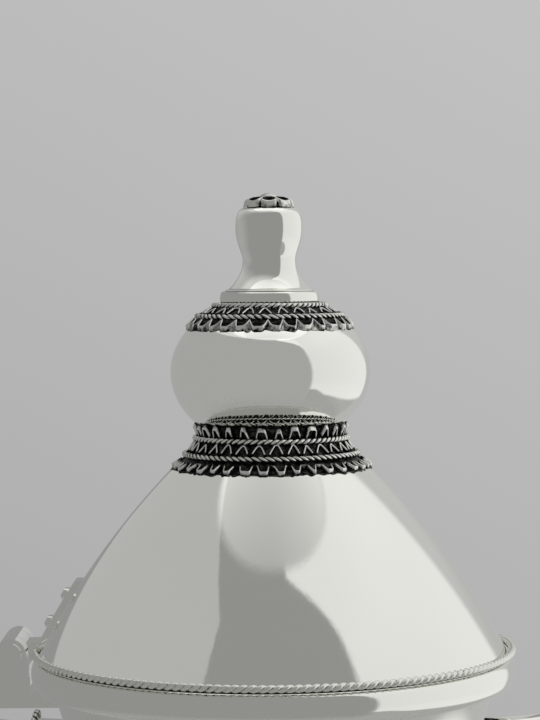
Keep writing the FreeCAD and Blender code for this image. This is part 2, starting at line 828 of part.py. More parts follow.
def hinge_bracket():
    """Bracket on the back of the neck with the two outer knuckles of the hinge."""
    inner_edge = LID_KNUCKLE_HALF + KNUCKLE_GAP
    bottom = SEAT_Z - BRACKET_DROP
    depth = KNUCKLE_RADIUS - HINGE_X - neck_radius(bottom) + WALL
    block = Part.makeBox(
        depth,
        2 * HINGE_HALF_WIDTH,
        HINGE_Z - bottom,
        Vector(HINGE_X - KNUCKLE_RADIUS, -HINGE_HALF_WIDTH, bottom),
    )
    front = Part.makeBox(
        depth,
        2 * HINGE_HALF_WIDTH,
        HINGE_Z - bottom,
        Vector(HINGE_X + KNUCKLE_RADIUS, -HINGE_HALF_WIDTH, SEAT_Z - RIM_DEPTH / 2),
    )
    slot = Part.makeBox(
        2 * depth,
        2 * inner_edge,
        2 * KNUCKLE_RADIUS + HINGE_RISE,
        Vector(HINGE_X - depth, -inner_edge, HINGE_Z - KNUCKLE_RADIUS - STRAP_CLEARANCE),
    )
    body = block.fuse(hinge_bar(KNUCKLE_RADIUS, HINGE_HALF_WIDTH)).cut(front).cut(slot)
    rim = turned_polygon(
        [
            (0, SEAT_Z - RIM_DEPTH - SOLDER_GAP),
            (RIM_RADIUS + HINGE_STANDOFF, SEAT_Z - RIM_DEPTH - SOLDER_GAP),
            (RIM_RADIUS + HINGE_STANDOFF, SEAT_Z + 2 * KNUCKLE_RADIUS),
            (0, SEAT_Z + 2 * KNUCKLE_RADIUS),
        ]
    )
    bore = hinge_bar(PIN_RADIUS + RUNNING_GAP / 2, 2 * HINGE_HALF_WIDTH)
    return body.cut(rim).cut(filled_neck(-SOLDER_GAP)).cut(bore).removeSplitter()


def hinge_pin():
    """Pin through all three knuckles, peened to a low head at each end."""
    pin = hinge_bar(PIN_RADIUS, HINGE_HALF_WIDTH + PIN_HEAD)
    for side in (-1, 1):
        offset = side * (HINGE_HALF_WIDTH + SOLDER_GAP + PIN_HEAD / 2)
        pin = pin.fuse(hinge_bar(PIN_HEAD_RADIUS, PIN_HEAD / 2, offset))
    return pin.removeSplitter()


def strap_half_angle():
    """Half of the sector of the dome that the lid's hinge strap covers, in degrees."""
    return math.degrees(math.asin((LID_KNUCKLE_HALF - STRAP_CLEARANCE) / LID_RADIUS))


def dome_strip(offset_low, offset_high, bottom, top):
    """Outline edges between two offsets of the dome and two heights."""
    corners = [
        at(dome_radius(bottom, offset_low), bottom),
        at(dome_radius(bottom, offset_high), bottom),
        at(dome_radius(top, offset_high), top),
        at(dome_radius(top, offset_low), top),
    ]
    inner = arc_through(corners[0], corners[3], DOME_ARC_RADIUS + offset_low)
    outer = arc_through(corners[1], corners[2], DOME_ARC_RADIUS + offset_high)
    return [line(corners[0], corners[1]), outer, line(corners[2], corners[3]), inner]


def lid_hinge_strap():
    """Lid's half of the hinge: a strap on the dome, a web and the middle knuckle."""
    half = strap_half_angle()
    bottom = LID_Z + STRAP_CLEARANCE
    offset = SOLDER_GAP
    strap = turned(dome_strip(offset, offset + STRAP_THICKNESS, bottom, LID_Z + STRAP_HEIGHT), 2 * half)
    strap.rotate(Vector(0, 0, 0), UP, 180 - half)
    width = LID_KNUCKLE_HALF - STRAP_CLEARANCE
    web = Part.makeBox(
        -HINGE_X - LID_RADIUS + STRAP_HEIGHT / 4,
        2 * width,
        HINGE_RISE + KNUCKLE_RADIUS / 2 - STRAP_CLEARANCE,
        Vector(HINGE_X, -width, bottom),
    )
    leaf = strap.fuse(web.cut(filled_dome(offset, LID_Z - 1, LID_Z + STRAP_HEIGHT)))
    leaf = leaf.fuse(hinge_bar(KNUCKLE_RADIUS, LID_KNUCKLE_HALF))
    leaf = leaf.cut(hinge_bar(PIN_RADIUS + RUNNING_GAP, 2 * HINGE_HALF_WIDTH))
    for rivet in rivets(RUNNING_GAP):
        leaf = leaf.cut(rivet)
    return leaf.removeSplitter()


def rivet_frame(rise):
    """Point on the back of the dome and its outward normal at a rise above the rim."""
    height = LID_Z + rise
    centre = dome_centre()
    point = at(dome_radius(height), height)
    way = point.sub(centre).normalize()
    return Vector(-point.x, 0, point.z), Vector(-way.x, 0, way.z)


def rivets(clearance):
    """Shanks of the strap's rivets, through the strap and the dome's wall."""
    shanks = []
    for rise in RIVET_HEIGHTS:
        point, way = rivet_frame(rise)
        start = point.sub(Vector(way).multiply(WALL + RIVET_HEAD))
        length = WALL + STRAP_THICKNESS + 2 * RIVET_HEAD
        shanks.append(cylinder(start, way, RIVET_RADIUS + clearance, length))
    return shanks


def lid_rivets():
    """Two rivets with low round heads outside and flat ends inside."""
    made = []
    for rise, shank in zip(RIVET_HEIGHTS, rivets(0.0)):
        point, way = rivet_frame(rise)
        seat = point.add(Vector(way).multiply(STRAP_THICKNESS + 2 * SOLDER_GAP))
        head = Part.makeCone(RIVET_HEAD_RADIUS, RIVET_RADIUS, RIVET_HEAD, seat, way)
        back = point.sub(Vector(way).multiply(WALL + RIVET_HEAD + SOLDER_GAP))
        foot = cylinder(back, way, RIVET_HEAD_RADIUS, RIVET_HEAD)
        made.append(shank.fuse([head, foot]).removeSplitter())
    return Part.makeCompound(made)


def lid_dome():
    """Domed lid shell with a collar seat and a flat crown, pierced for the stud and the strap's rivets."""
    shell = filled_lid(0.0, LID_Z).cut(filled_lid(WALL, LID_Z - 1))
    shell = shell.cut(cylinder(Vector(0, 0, LID_Z), UP, STUD_RADIUS + RUNNING_GAP, CROWN_Z))
    for rivet in rivets(RUNNING_GAP):
        shell = shell.cut(rivet)
    return shell


def bezel_radius():
    """Outer radius of the bezel's skirt, clear of the neck's inside at its lowest edge."""
    return neck_radius(SEAT_Z - BEZEL_DEPTH, WALL) - BEZEL_CLEARANCE


def lid_bezel():
    """Ring inside the lid's edge, with a skirt that drops into the mouth."""
    outer = bezel_radius()
    inner = outer - BEZEL_WALL
    flange = dome_radius(LID_Z + BEZEL_FLANGE, -WALL) - SOLDER_GAP
    return turned_polygon(
        [
            (inner, SEAT_Z - BEZEL_DEPTH),
            (outer, SEAT_Z - BEZEL_DEPTH),
            (outer, LID_Z),
            (flange, LID_Z),
            (flange, LID_Z + BEZEL_FLANGE),
            (inner, LID_Z + BEZEL_FLANGE),
        ]
    )


def lid_edge_rope():
    """Twisted wire round the lid's edge, broken at the hinge strap."""
    height = LID_Z + HEAVY_ROPE_RADIUS
    radius = dome_radius(LID_Z) + HEAVY_ROPE_RADIUS + SOLDER_GAP
    gap = 2 * math.degrees(math.asin((LID_KNUCKLE_HALF + STRAP_CLEARANCE) / LID_RADIUS))
    ring = Part.makeTorus(radius, HEAVY_ROPE_RADIUS, Vector(0, 0, height), UP, -180, 180, 360 - gap)
    ring.rotate(Vector(0, 0, 0), UP, 180 + gap / 2)
    return ring


def lower_collar_backing():
    """Dark cone under the lower collar's wires, flared at its foot, from the dome's ledge up to the throat."""
    foot = collar_foot()
    high = collar_line(1.0)
    inner_high = (collar_inside(high[1], BACKING), high[1])
    inner_foot = (collar_inside(foot[1], BACKING), foot[1])
    return turned_polygon([foot, collar_line(0.0), high, inner_high, inner_foot])


def on_collar(height, lift):
    """Point on the lower collar's face line at a height, moved out by lift along its normal."""
    low = collar_line(0.0)
    high = collar_line(1.0)
    share = (height - low[1]) / (high[1] - low[1])
    length = math.hypot(high[0] - low[0], high[1] - low[1])
    out = ((high[1] - low[1]) / length, (low[0] - high[0]) / length)
    return low[0] + share * (high[0] - low[0]) + lift * out[0], height + lift * out[1]


def lower_rope(height):
    """Twisted wire on the lower collar at a height on its face."""
    radius, z = on_collar(height, ROPE_RADIUS + SOLDER_GAP)
    return torus(radius, z, ROPE_RADIUS)


def throat_rope_height():
    """Height on the collar's face of the rope under the throat."""
    return THROAT_Z - 1.6 * ROPE_RADIUS


def lower_collar_rope_upper():
    """Rope under the collar's throat."""
    return lower_rope(throat_rope_height())


def lower_collar_rope_lower():
    """Rope half way down the collar, above the hanging lobes."""
    return lower_rope(SKIRT_Z + SKIRT_ROPE_RISE)


def lower_collar_zigzag():
    """Zigzag strip between the lower collar's two ropes."""
    clear = 1.5 * ROPE_RADIUS
    top = on_collar(throat_rope_height() - clear, SOLDER_GAP)
    bottom = on_collar(SKIRT_Z + SKIRT_ROPE_RISE + clear, SOLDER_GAP)
    return strip_ring(top, bottom, LOWER_ZIGZAGS, zigzag, 2, LOW_STRIP_DEPTH)


def on_flare(share, lift):
    """Point on the lower collar's flare, from its upper edge at 0 to its foot at 1, moved out by lift."""
    high = collar_line(0.0)
    low = collar_foot()
    run = (low[0] - high[0], low[1] - high[1])
    length = math.hypot(run[0], run[1])
    return high[0] + share * run[0] - lift * run[1] / length, high[1] + share * run[1] + lift * run[0] / length


def lower_collar_scallops():
    """Row of lobes that hangs from the lower rope down the collar's flare."""
    top = on_flare(0.15, SOLDER_GAP)
    bottom = on_flare(0.94, SOLDER_GAP)
    return strip_ring(top, bottom, LOWER_SCALLOPS, scallop, 4, LOW_STRIP_DEPTH)


def ball_calyx():
    """Row of lobes that stands up from the throat and cups the ball."""
    lift = STRIP_THICKNESS / 2
    top = (CALYX_RADIUS + lift, CALYX_Z)
    bottom = (THROAT_RADIUS + BACKING + lift, THROAT_Z + STRIP_THICKNESS)
    return strip_ring(top, bottom, CALYX_POINTS, crown_point, 4, CALYX_DEPTH)


def calyx_ring():
    """Dark ring on the throat that carries the calyx and the ball."""
    inner = THROAT_RADIUS - BACKING
    return turned_polygon(
        [
            (inner, THROAT_Z + SOLDER_GAP),
            (THROAT_RADIUS + BACKING, THROAT_Z + SOLDER_GAP),
            (THROAT_RADIUS + BACKING, THROAT_Z + 2 * BACKING),
            (inner, THROAT_Z + 2 * BACKING),
        ]
    ).cut(filled_ball(-SOLDER_GAP))


def ball_half(side):
    """Half of the hollow ball; side is 1 for the upper half and -1 for the lower."""
    shell = filled_ball(0.0).cut(filled_ball(BALL_WALL))
    low = BALL_Z if side > 0 else BALL_Z - 2 * BALL_HALF_HEIGHT
    high = ball_height(BALL_SEAT_RADIUS) if side > 0 else BALL_Z
    hole = cylinder(Vector(0, 0, LID_Z), UP, STUD_RADIUS + RUNNING_GAP, 2 * DOME_RISE)
    return shell.common(slab(low, high)).cut(hole)


def on_ball(radius, lift):
    """Point on the ball's upper surface at a radius, moved out by lift along its normal."""
    height = ball_height(radius)
    normal = Vector(radius / BALL_RADIUS ** 2, 0, (height - BALL_Z) / BALL_HALF_HEIGHT ** 2).normalize()
    return radius + lift * normal.x, height + lift * normal.z


def upper_face():
    """Lift of the upper collar's backing face above the ball."""
    return SOLDER_GAP + BACKING


def upper_collar_backing():
    """Dark band on the ball between the upper collar's ropes."""
    skin = filled_ball(-upper_face()).cut(filled_ball(-SOLDER_GAP))
    low = ball_height(UPPER_MIDDLE_RADIUS - 2 * ROPE_RADIUS) + upper_face()
    high = ball_height(UPPER_ROPE_RADIUS + ROPE_RADIUS)
    return skin.common(slab(low, high))


def upper_rope(radius):
    """Twisted wire on the upper collar at a radius on the ball."""
    r, z = on_ball(radius, ROPE_RADIUS + SOLDER_GAP)
    return torus(r, z, ROPE_RADIUS)


def upper_collar_zigzag():
    """Zigzag strip between the upper collar's two ropes."""
    lift = upper_face() + STRIP_THICKNESS / 2
    clear = 1.6 * ROPE_RADIUS
    top = on_ball(UPPER_ROPE_RADIUS - ROPE_RADIUS + clear, lift)
    bottom = on_ball(UPPER_MIDDLE_RADIUS - ROPE_RADIUS - clear, lift)
    return strip_ring(top, bottom, UPPER_ZIGZAGS, zigzag, 2, LOW_STRIP_DEPTH)


def upper_collar_scallops():
    """Row of lobes that hangs from the lower rope onto the ball."""
    lift = STRIP_THICKNESS / 2 + SOLDER_GAP
    top = on_ball(UPPER_MIDDLE_RADIUS + 0.6 * ROPE_RADIUS, lift)
    bottom = on_ball(UPPER_SKIRT_RADIUS, lift)
    return strip_ring(top, bottom, UPPER_SCALLOPS, scallop, 4)


def finial_disc():
    """Low round plinth between the ball and the knob, with a broken upper edge."""
    top = DISC_Z + DISC_HEIGHT
    bore = STUD_RADIUS + RUNNING_GAP
    return turned_polygon(
        [
            (bore, DISC_Z),
            (DISC_RADIUS, DISC_Z),
            (DISC_RADIUS, top - DISC_EDGE),
            (DISC_RADIUS - DISC_EDGE, top),
            (bore, top),
        ]
    )


def knob_outlines():
    """Three Beziers of the knob: flared foot, swelling head and rounded top."""
    neck_z = KNOB_Z + KNOB_NECK_RISE
    head_z = neck_z + KNOB_HEAD_RISE
    foot = [
        at(KNOB_BASE_RADIUS, KNOB_Z),
        at(KNOB_BASE_RADIUS - 0.53 * (KNOB_BASE_RADIUS - KNOB_NECK_RADIUS), KNOB_Z + 0.24 * KNOB_NECK_RISE),
        at(KNOB_NECK_RADIUS, KNOB_Z + 0.5 * KNOB_NECK_RISE),
        at(KNOB_NECK_RADIUS, neck_z),
    ]
    head = [
        at(KNOB_NECK_RADIUS, neck_z),
        at(KNOB_NECK_RADIUS, neck_z + 0.3 * KNOB_HEAD_RISE),
        at(KNOB_HEAD_RADIUS, head_z - 0.6 * KNOB_HEAD_RISE),
        at(KNOB_HEAD_RADIUS, head_z),
    ]
    top = [
        at(KNOB_HEAD_RADIUS, head_z),
        at(KNOB_HEAD_RADIUS, head_z + 0.6 * KNOB_TOP_RISE),
        at(KNOB_TOP_RADIUS + 0.65 * (KNOB_HEAD_RADIUS - KNOB_TOP_RADIUS), KNOB_TOP_Z - 0.05 * KNOB_TOP_RISE),
        at(KNOB_TOP_RADIUS, KNOB_TOP_Z),
    ]
    return foot, head, top


def finial_knob():
    """Turned knob that lifts the lid, bored from below for the stud."""
    foot, head, top = knob_outlines()
    edges = [bezier(foot), bezier(head), bezier(top)]
    edges += [
        line(top[-1], at(0, KNOB_TOP_Z)),
        line(at(0, KNOB_TOP_Z), at(0, KNOB_Z)),
        line(at(0, KNOB_Z), foot[0]),
    ]
    bore = cylinder(Vector(0, 0, KNOB_Z - 1), UP, STUD_RADIUS + RUNNING_GAP, STUD_IN_KNOB + RUNNING_GAP + 1)
    return turned(edges).cut(bore)


def petal(angle):
    """One rosette petal: a cell of flat strip with a round outer end, its rim rising towards the middle."""
    half = PETAL_WIDTH / 2
    outer_end = KNOB_TOP_RADIUS + PETAL_OVERHANG
    inner_end = outer_end - PETAL_LENGTH

    def outline(inset):
        tip = Vector(inner_end + 2 * inset, 0, 0)
        left = Vector(outer_end - 0.35 * half, half - inset, 0)
        right = Vector(left.x, -left.y, 0)
        round_end = Part.Arc(left, Vector(outer_end - inset, 0, 0), right).toShape()
        return Part.Wire([line(tip, left), round_end, line(right, tip)])

    reach = 2 * PETAL_LENGTH
    lean = Vector(-math.tan(math.radians(PETAL_LEAN)), 0, 1)
    pivot = Vector(outer_end, 0, 0)
    wall = Part.Face(outline(0.0)).cut(Part.Face(outline(PETAL_WALL))).extrude(lean * reach)
    layer = Part.makeBox(2 * reach, 2 * reach, PETAL_HEIGHT, Vector(outer_end - 1.5 * reach, -reach, 0))
    layer.rotate(pivot, ACROSS, PETAL_TILT)
    wall = wall.common(layer)
    wall.translate(Vector(0, 0, KNOB_TOP_Z + SOLDER_GAP))
    wall.rotate(Vector(0, 0, 0), UP, angle)
    return wall.Solids[0]


def rosette_petals():
    """The ring of petals on the knob's top."""
    first = -90.0
    return Part.makeCompound([petal(first + i * 360.0 / PETALS) for i in range(PETALS)])


def rosette_seat():
    """Low cone under the petals that fills the rosette's middle."""
    tilt = math.tan(math.radians(PETAL_TILT))
    radius = KNOB_TOP_RADIUS + PETAL_OVERHANG - 2 * PETAL_WALL
    rise = tilt * radius
    cut = SOLDER_GAP / math.cos(math.radians(PETAL_TILT))
    return turned_polygon(
        [
            (0, KNOB_TOP_Z + SOLDER_GAP),
            (radius - cut / tilt, KNOB_TOP_Z + SOLDER_GAP),
            (0.12 * radius, KNOB_TOP_Z + SOLDER_GAP + 0.88 * rise - cut),
            (0, KNOB_TOP_Z + SOLDER_GAP + 0.88 * rise - cut),
        ]
    )


def rosette_bead():
    """Granule at the rosette's centre."""
    tilt = math.tan(math.radians(PETAL_TILT))
    radius = KNOB_TOP_RADIUS + PETAL_OVERHANG - 2 * PETAL_WALL
    seat = KNOB_TOP_Z + SOLDER_GAP + 0.88 * tilt * radius
    return Part.makeSphere(BEAD_RADIUS, Vector(0, 0, seat + BEAD_RADIUS))


def stud_foot():
    """Height of the underside of the nut."""
    return CROWN_Z - WALL - WASHER_THICKNESS - NUT_HEIGHT


def finial_stud():
    """Rod that ties the knob, disc and ball down onto the lid."""
    bottom = stud_foot() - STUD_TAIL
    return cylinder(Vector(0, 0, bottom), UP, STUD_RADIUS, KNOB_Z + STUD_IN_KNOB - bottom)


def finial_washer():
    """Washer between the nut and the inside of the lid's crown."""
    washer = cylinder(Vector(0, 0, CROWN_Z - WALL - WASHER_THICKNESS), UP, WASHER_RADIUS, WASHER_THICKNESS)
    return washer.cut(cylinder(Vector(0, 0, LID_Z), UP, STUD_RADIUS + RUNNING_GAP, 2 * DOME_RISE))


def finial_nut():
    """Six-sided nut on the stud's lower end."""
    corner = NUT_ACROSS_FLATS / math.sqrt(3)
    corners = [
        Vector(corner * math.cos(math.radians(60 * i)), corner * math.sin(math.radians(60 * i)), stud_foot())
        for i in range(6)
    ]
    nut = Part.Face(Part.makePolygon(corners + corners[:1])).extrude(UP * NUT_HEIGHT)
    return nut.cut(cylinder(Vector(0, 0, LID_Z), UP, STUD_RADIUS + RUNNING_GAP, 2 * DOME_RISE))


def pieces():
    """Every piece of the pot by its node name."""
    upper_end, lower_end = handle_ends()
    return {
        "foot_ring": foot_ring(),
        "foot_rope": foot_rope(),
        "foot_scallops": foot_scallops(),
        "base_plate": base_plate(),
        "body_bowl": body_bowl(),
        "body_shoulder": body_shoulder(),
        "body_throat": body_throat(),
        "body_neck": body_neck(),
        "mouth_rim": mouth_rim(),
        "waist_sleeve": waist_sleeve(),
        "waist_rope_upper": waist_rope(1),
        "waist_rope_lower": waist_rope(-1),
        "waist_zigzag": waist_zigzag(),
        "waist_points": waist_points(),
        "waist_scallops": waist_scallops(),
        "spout_shell": spout_shell(),
        "spout_rope": spout_rope(),
        "handle_grip": handle_grip(),
        "handle_upper_socket": handle_upper_socket(),
        "handle_lower_socket": handle_lower_socket(),
        "handle_upper_rope": handle_rope(*upper_end),
        "handle_lower_rope": handle_rope(*lower_end),
        "handle_pins": handle_pins(),
        "hinge_bracket": hinge_bracket(),
        "hinge_pin": hinge_pin(),
        "lid_dome": lid_dome(),
        "lid_bezel": lid_bezel(),
        "lid_edge_rope": lid_edge_rope(),
        "lid_hinge_strap": lid_hinge_strap(),
        "lid_rivets": lid_rivets(),
        "lower_collar_backing": lower_collar_backing(),
        "lower_collar_rope_upper": lower_collar_rope_upper(),
        "lower_collar_rope_lower": lower_collar_rope_lower(),
        "lower_collar_zigzag": lower_collar_zigzag(),
        "lower_collar_scallops": lower_collar_scallops(),
        "calyx_ring": calyx_ring(),
        "ball_calyx": ball_calyx(),
        "ball_lower_half": ball_half(-1),
        "ball_upper_half": ball_half(1),
        "upper_collar_backing": upper_collar_backing(),
        "upper_collar_rope_upper": upper_rope(UPPER_ROPE_RADIUS - ROPE_RADIUS),
        "upper_collar_rope_lower": upper_rope(UPPER_MIDDLE_RADIUS - ROPE_RADIUS),
        "upper_collar_zigzag": upper_collar_zigzag(),
        "upper_collar_scallops": upper_collar_scallops(),
        "finial_disc": finial_disc(),
        "finial_knob": finial_knob(),
        "rosette_seat": rosette_seat(),
        "rosette_petals": rosette_petals(),
        "rosette_bead": rosette_bead(),
        "finial_stud": finial_stud(),
        "finial_washer": finial_washer(),
        "finial_nut": finial_nut(),
    }


def main():
    """Writes one STEP file per piece and prints each one's solids and volume."""
    os.makedirs("parts", exist_ok=True)
    for name, shape in pieces().items():
        shape.exportStep(os.path.join("parts", name + ".step"))
        print(name, len(shape.Solids), "solids", round(shape.Volume, 2), "mm3", shape.isValid())
    print("height", round(KNOB_TOP_Z, 2), "ball centre", round(BALL_Z, 2), "skirt", round(SKIRT_Z, 2))


main()
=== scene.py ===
"""Dressed model of a silver dallah: polished shells, twisted wire, flat-strip filigree and studio light."""
import json
import math

import bmesh
import bpy
import numpy as np
from mathutils import Matrix


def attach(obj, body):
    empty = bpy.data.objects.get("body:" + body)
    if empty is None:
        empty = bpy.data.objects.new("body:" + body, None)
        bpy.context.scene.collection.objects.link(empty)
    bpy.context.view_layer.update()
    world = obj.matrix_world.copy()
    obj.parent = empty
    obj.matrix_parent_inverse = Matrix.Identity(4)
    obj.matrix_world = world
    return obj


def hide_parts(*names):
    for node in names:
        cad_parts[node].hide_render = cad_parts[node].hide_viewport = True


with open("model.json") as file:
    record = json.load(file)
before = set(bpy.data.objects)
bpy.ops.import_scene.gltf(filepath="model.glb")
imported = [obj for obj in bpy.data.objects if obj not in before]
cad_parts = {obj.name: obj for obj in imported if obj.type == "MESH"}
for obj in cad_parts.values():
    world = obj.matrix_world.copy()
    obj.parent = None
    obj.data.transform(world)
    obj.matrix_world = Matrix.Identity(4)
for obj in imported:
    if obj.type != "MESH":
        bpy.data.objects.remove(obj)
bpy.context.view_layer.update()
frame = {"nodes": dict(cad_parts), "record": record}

MM = 0.001
TAU = 2 * np.pi

# Sheet and solder, in millimetres
WALL = 1.2
SOLDER = 0.06

# Foot and bowl
FOOT_HEIGHT = 8.4
FOOT_RADIUS = 50.5
FOOT_TREAD = 2.4
FOOT_SHOULDER = 48.4
FOOT_WALL = 4.0
FOOT_LEDGE = 40.4
FOOT_LIP_INNER = 43.46
FOOT_LIP_OUTER = 45.66
BOWL_Z = 10.0
BOWL_BASE = 42.0
BOWL_SPREAD = (15.0, 9.0)
BELLY_RADIUS = 70.0
BELLY_Z = 52.0
WAIST_RADIUS = 36.0
WAIST_FACE = WAIST_RADIUS + 0.9
WAIST_HALF = 5.5
SEAM_Z = 132.0

# Neck, mouth and lid seat
NECK_TOP_Z = 198.0
NECK_FLARE = (6.0, 13.0)
MOUTH_RADIUS = 46.0
SEAT_Z = 200.0
RIM_RADIUS = 48.5
LID_Z = 200.3
LID_RADIUS = 47.0

# Dome and lower collar
SKIRT_Z = 237.3
SKIRT_RADIUS = 20.2
DOME_ARC = 159.0
COLLAR_STEP_Z = SKIRT_Z + 0.3
COLLAR_FLARE = (SKIRT_RADIUS - 3.0, SKIRT_Z + 2.2)
COLLAR_FOOT = (SKIRT_RADIUS - 0.8, SKIRT_Z + 0.36)
SKIRT_ROPE_Z = SKIRT_Z + 2.8
THROAT_Z = 244.1
THROAT_RADIUS = 13.9
CALYX_Z = 246.6
CALYX_RADIUS = 15.05

# Ball, upper collar, disc and knob
BALL_RADIUS = 20.0
BALL_HALF = 15.3
BALL_Z = CALYX_Z + BALL_HALF * math.sqrt(1 - (CALYX_RADIUS / BALL_RADIUS) ** 2)
CROWN_Z = BALL_Z - BALL_HALF - 0.25
DISC_RADIUS = 10.0
DISC_HEIGHT = 2.4
BALL_SEAT = 9.0
DISC_Z = BALL_Z + BALL_HALF * math.sqrt(1 - (BALL_SEAT / BALL_RADIUS) ** 2) + SOLDER
KNOB_Z = DISC_Z + DISC_HEIGHT
KNOB_TOP_Z = KNOB_Z + 16.7
KNOB_TOP = 4.9
STUD_HOLE = 2.05

# Filigree wire and strip
ROPE = 0.5
HEAVY_ROPE = 0.75
STRIP = 0.34
STRIP_DEPTH = 0.8
BACKING = 0.3

# Camera: eye level and distance, focal length for a 720 pixel high picture, lean of the picture
EYE = (-0.08, -497.0, 279.0)
FOCAL_PIXELS = 2485.0
PITCH_DEGREES = 2.30
LEAN_DEGREES = -0.55
PICTURE_HEIGHT = 720
SENSOR = 36.0


def bezier(poles, count=48):
    """Cubic Bezier: Bernstein weights at even parameters times the four (radius, height) poles."""
    p = np.array(poles, float)
    t = np.linspace(0, 1, count)[:, None]
    return (1 - t) ** 3 * p[0] + 3 * t * (1 - t) ** 2 * p[1] + 3 * t**2 * (1 - t) * p[2] + t**3 * p[3]


def bezier_tangent(poles, t):
    """Unit derivative of a cubic Bezier at parameters t."""
    p = np.array(poles, float)
    t = np.asarray(t)[:, None]
    d = (1 - t) ** 2 * (p[1] - p[0]) + 2 * t * (1 - t) * (p[2] - p[1]) + t**2 * (p[3] - p[2])
    return d / np.linalg.norm(d, axis=1, keepdims=True)


def join(*curves):
    """Curves laid end to end, with each shared end point kept once."""
    parts = [np.array(curves[0], float)]
    for curve in curves[1:]:
        curve = np.array(curve, float)
        shared = np.allclose(parts[-1][-1], curve[0])
        parts.append(curve[1:] if shared else curve)
    return np.concatenate(parts)


def straight(a, b, count=2):
    """Evenly spaced points from a to b."""
    t = np.linspace(0, 1, count)[:, None]
    return np.array(a, float) * (1 - t) + np.array(b, float) * t


def rounded(points, radius, steps=5):
    """Closed polygon with quadratic Bezier rounds for corners, and a point close to each round's ends."""
    p = np.array(points, float)
    before = np.roll(p, 1, axis=0) - p
    after = np.roll(p, -1, axis=0) - p
    reach_before = np.linalg.norm(before, axis=1, keepdims=True)
    reach_after = np.linalg.norm(after, axis=1, keepdims=True)
    reach = np.minimum(radius, 0.4 * np.minimum(reach_before, reach_after))
    start = p + before / reach_before * reach
    end = p + after / reach_after * reach
    lead = p + before / reach_before * reach * 1.15
    trail = p + after / reach_after * reach * 1.15
    t = np.linspace(0, 1, steps)[None, :, None]
    arcs = (1 - t) ** 2 * start[:, None] + 2 * t * (1 - t) * p[:, None] + t**2 * end[:, None]
    return np.concatenate([lead[:, None], arcs, trail[:, None]], axis=1).reshape(-1, 2)


def put_mesh(name, points, faces, tarnish_and_painted_light=None, smooth_angle=None):
    """Object at the origin from points in millimetres.

    Doubles merge, faces turn outwards, and shading is smooth but for edges sharper than smooth_angle.
    """
    mesh = bpy.data.meshes.new(name)
    mesh.from_pydata((np.asarray(points) * MM).tolist(), [], faces.tolist())
    if tarnish_and_painted_light is not None:
        layer = mesh.attributes.new("tarnish_and_painted_light", "FLOAT", "POINT")
        layer.data.foreach_set("value", np.asarray(tarnish_and_painted_light, np.float32).ravel())
    shell = bmesh.new()
    shell.from_mesh(mesh)
    bmesh.ops.remove_doubles(shell, verts=shell.verts, dist=1e-7)
    bmesh.ops.recalc_face_normals(shell, faces=shell.faces)
    shell.to_mesh(mesh)
    shell.free()
    mesh.shade_smooth()
    if smooth_angle is not None:
        mesh.set_sharp_from_angle(angle=math.radians(smooth_angle))
    piece = bpy.data.objects.new(name, mesh)
    bpy.context.scene.collection.objects.link(piece)
    return piece


def grid_faces(rows, columns, wrap_rows, wrap_columns, first=0):
    """Quads of a rows by columns grid of points, closed round either way on request."""
    i = np.arange(rows if wrap_rows else rows - 1)
    j = np.arange(columns if wrap_columns else columns - 1)
    i, j = np.meshgrid(i, j, indexing="ij")
    k = (i + 1) % rows
    m = (j + 1) % columns
    quads = np.stack([i * columns + j, i * columns + m, k * columns + m, k * columns + j], axis=-1)
    return quads.reshape(-1, 4) + first


def lathe_points(profile, segments):
    """Each (radius, height) of a profile turned to every one of the segments' angles."""
    angle = np.linspace(0, TAU, segments, endpoint=False)
    r = profile[:, 0][:, None]
    z = np.broadcast_to(profile[:, 1][:, None], (len(profile), segments))
    return np.stack([r * np.cos(angle), r * np.sin(angle), z], axis=-1)


def lathe(name, profile, segments=224, closed=True, tarnish_and_painted_light=None, smooth_angle=40):
    """Surface of revolution of a profile about the Z axis."""
    profile = np.array(profile, float)
    points = lathe_points(profile, segments)
    faces = grid_faces(len(profile), segments, closed, True)
    values = None if tarnish_and_painted_light is None else np.repeat(np.asarray(tarnish_and_painted_light), segments)
    return put_mesh(name, points.reshape(-1, 3), faces, values, smooth_angle)


def unit(vectors):
    """Vectors scaled to length 1."""
    return vectors / np.linalg.norm(vectors, axis=-1, keepdims=True)


def circle_path(radius, height, count, start=0.0, sweep=TAU):
    """Points of a level ring, its outward normals and its upward binormals, and whether it closes."""
    closed = abs(sweep - TAU) < 1e-6
    angle = start + np.linspace(0, sweep, count, endpoint=not closed)
    out = np.stack([np.cos(angle), np.sin(angle), np.zeros(count)], axis=-1)
    up = np.broadcast_to(np.array([0.0, 0.0, 1.0]), out.shape)
    return out * radius + up * height, out, up, closed


